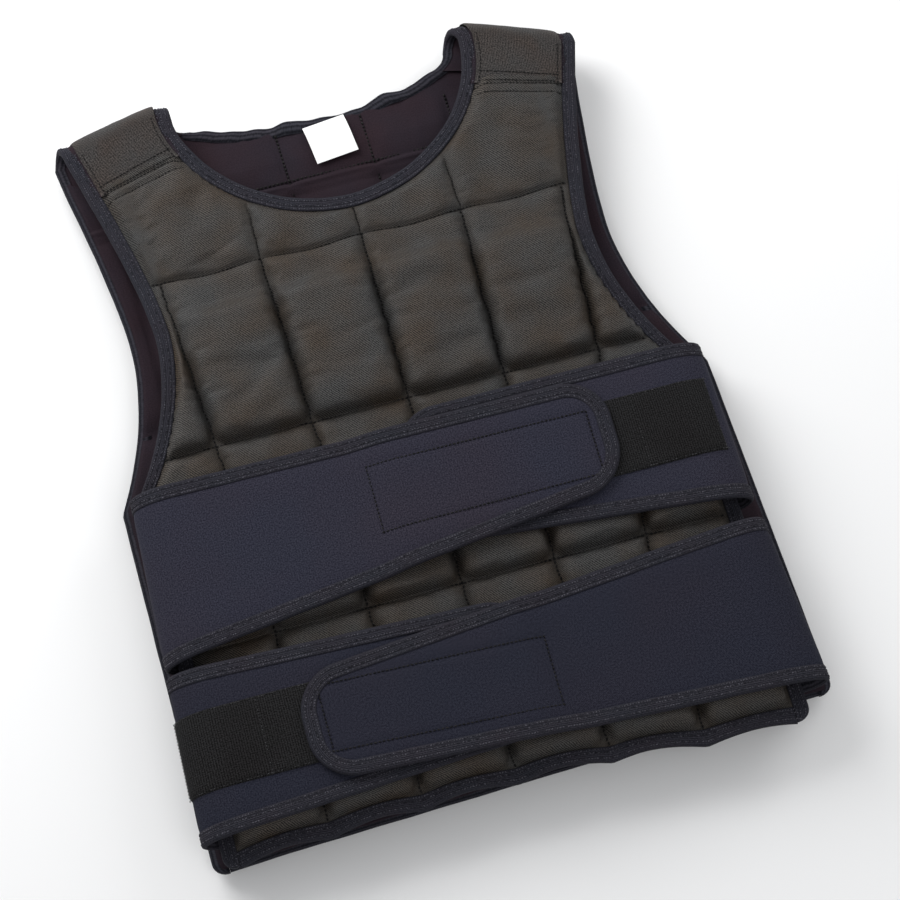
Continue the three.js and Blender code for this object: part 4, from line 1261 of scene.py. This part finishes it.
loop_cloth = cloth_material(
    "loop_cloth", (0.003, 0.003, 0.003), (0.024, 0.024, 0.025),
    {"Slant": 0.0, "Rib Scale": 170.0, "Thread Scale": 190.0, "Roughness": 0.75},
    0.0008, 0.95, patch=(0.7, 0.65, 0.65), blotch=0.8,
)
loop_rows = []
loop_half = 31
loop_strips = {"upper_loop_strip": "upper_belt_right", "lower_loop_strip": "lower_belt_left"}
for name, belt_name in loop_strips.items():
    belt = belts[belt_name]
    made = belt_frame(belt)
    reach = (belt_fold - 60) / 2
    middle = (belt["low"] + belt["high"] + (belt["low_tilt"] + belt["high_tilt"]) * reach) / 2
    line = made["line"]
    on_top = line[:, 1] > (belt_root_level + belt_level) / 2
    start = float(np.min(made["arc"][on_top & (line[:, 0] < belt_fold - 6)]))
    if belt_name == "lower_belt_left":
        start = start - 16
    stop = float(np.interp(-60, -line[13:, 0], made["arc"][13:]))
    arcs = np.linspace(start, stop, 60)
    arc_grid, cross = np.meshgrid(arcs, np.linspace(-loop_half, loop_half, 25), indexing="ij")
    edge = np.minimum(loop_half - np.abs(cross), np.minimum(arc_grid - start, stop - arc_grid))
    above = 2.3 + 1.4 * rounded(edge, 2.5, 2.0)
    top = belt_place(belt, made, arc_grid, middle + cross, above)
    flat = np.stack([arc_grid, cross], -1).reshape(-1, 2)
    faces = grid_faces(*arc_grid.shape)
    if belt["side"] > 0:
        faces = [f[::-1] for f in faces]
    for cross_at in (-29.8, 29.8):
        place = np.full(60, middle + cross_at)
        loop_rows.append((belt_place(belt, made, arcs, place, np.full(60, 3.6)), (0, 0, 1)))
    for arc_at in (start + 1.5, start + (68 if belt["side"] < 0 else 62)):
        place = middle + np.linspace(-30, 30, 30)
        level = np.full(30, 3.75)
        loop_rows.append((belt_place(belt, made, np.full(30, arc_at), place, level), (0, 0, 1)))
    strip = cloth_mesh(name + "_cloth", top, faces, loop_cloth, flat)
    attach(strip, "root")
    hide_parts(name)

loop_thread = thread_material("loop_thread", (0.006, 0.006, 0.006), (0.055, 0.055, 0.058))
sew("loop_strip_thread", loop_rows, 2.6, 2.3, 0.7, 0.2, loop_thread, seed=9)

# Neck label
# A small plain white woven label. It is sewn to the middle of the back neckline by its top
# edge, and lies on the lining.

label_cloth = cloth_material(
    "label_cloth", (0.74, 0.74, 0.73), (0.90, 0.90, 0.89),
    {"Slant": 0.0, "Rib Scale": 420.0, "Thread Scale": 420.0, "Roughness": 0.3},
    0.0001, 0.7,
)
label_turn = math.radians(6)
label_top = inner_fold - back["neck_depth"] - 6
label_half, label_length, label_steps = 18, 37, 13
across, down = np.meshgrid(
    np.linspace(-label_half, label_half, label_steps), np.linspace(0, -label_length, label_steps)
)
curl = 0.8 * (down / label_length) ** 2 + 0.5 * np.sin(across / 9)
label_points = np.stack(
    [
        across * math.cos(label_turn) - down * math.sin(label_turn)
        + 3 + float(panel_shift(back, label_top)) + middle_shift,
        across * math.sin(label_turn) + down * math.cos(label_turn) + label_top - vest_length / 2,
        back_level + 4.3 + 5.6 * np.sin(np.clip(-down / 22, 0, 1) * math.pi / 2) + 0.3 * curl,
    ],
    -1,
)
label = cloth_mesh(
    "neck_label_cloth", label_points, [f[::-1] for f in grid_faces(label_steps, label_steps)],
    label_cloth, np.stack([across, down], -1),
)
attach(label, "root")
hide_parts("neck_label")
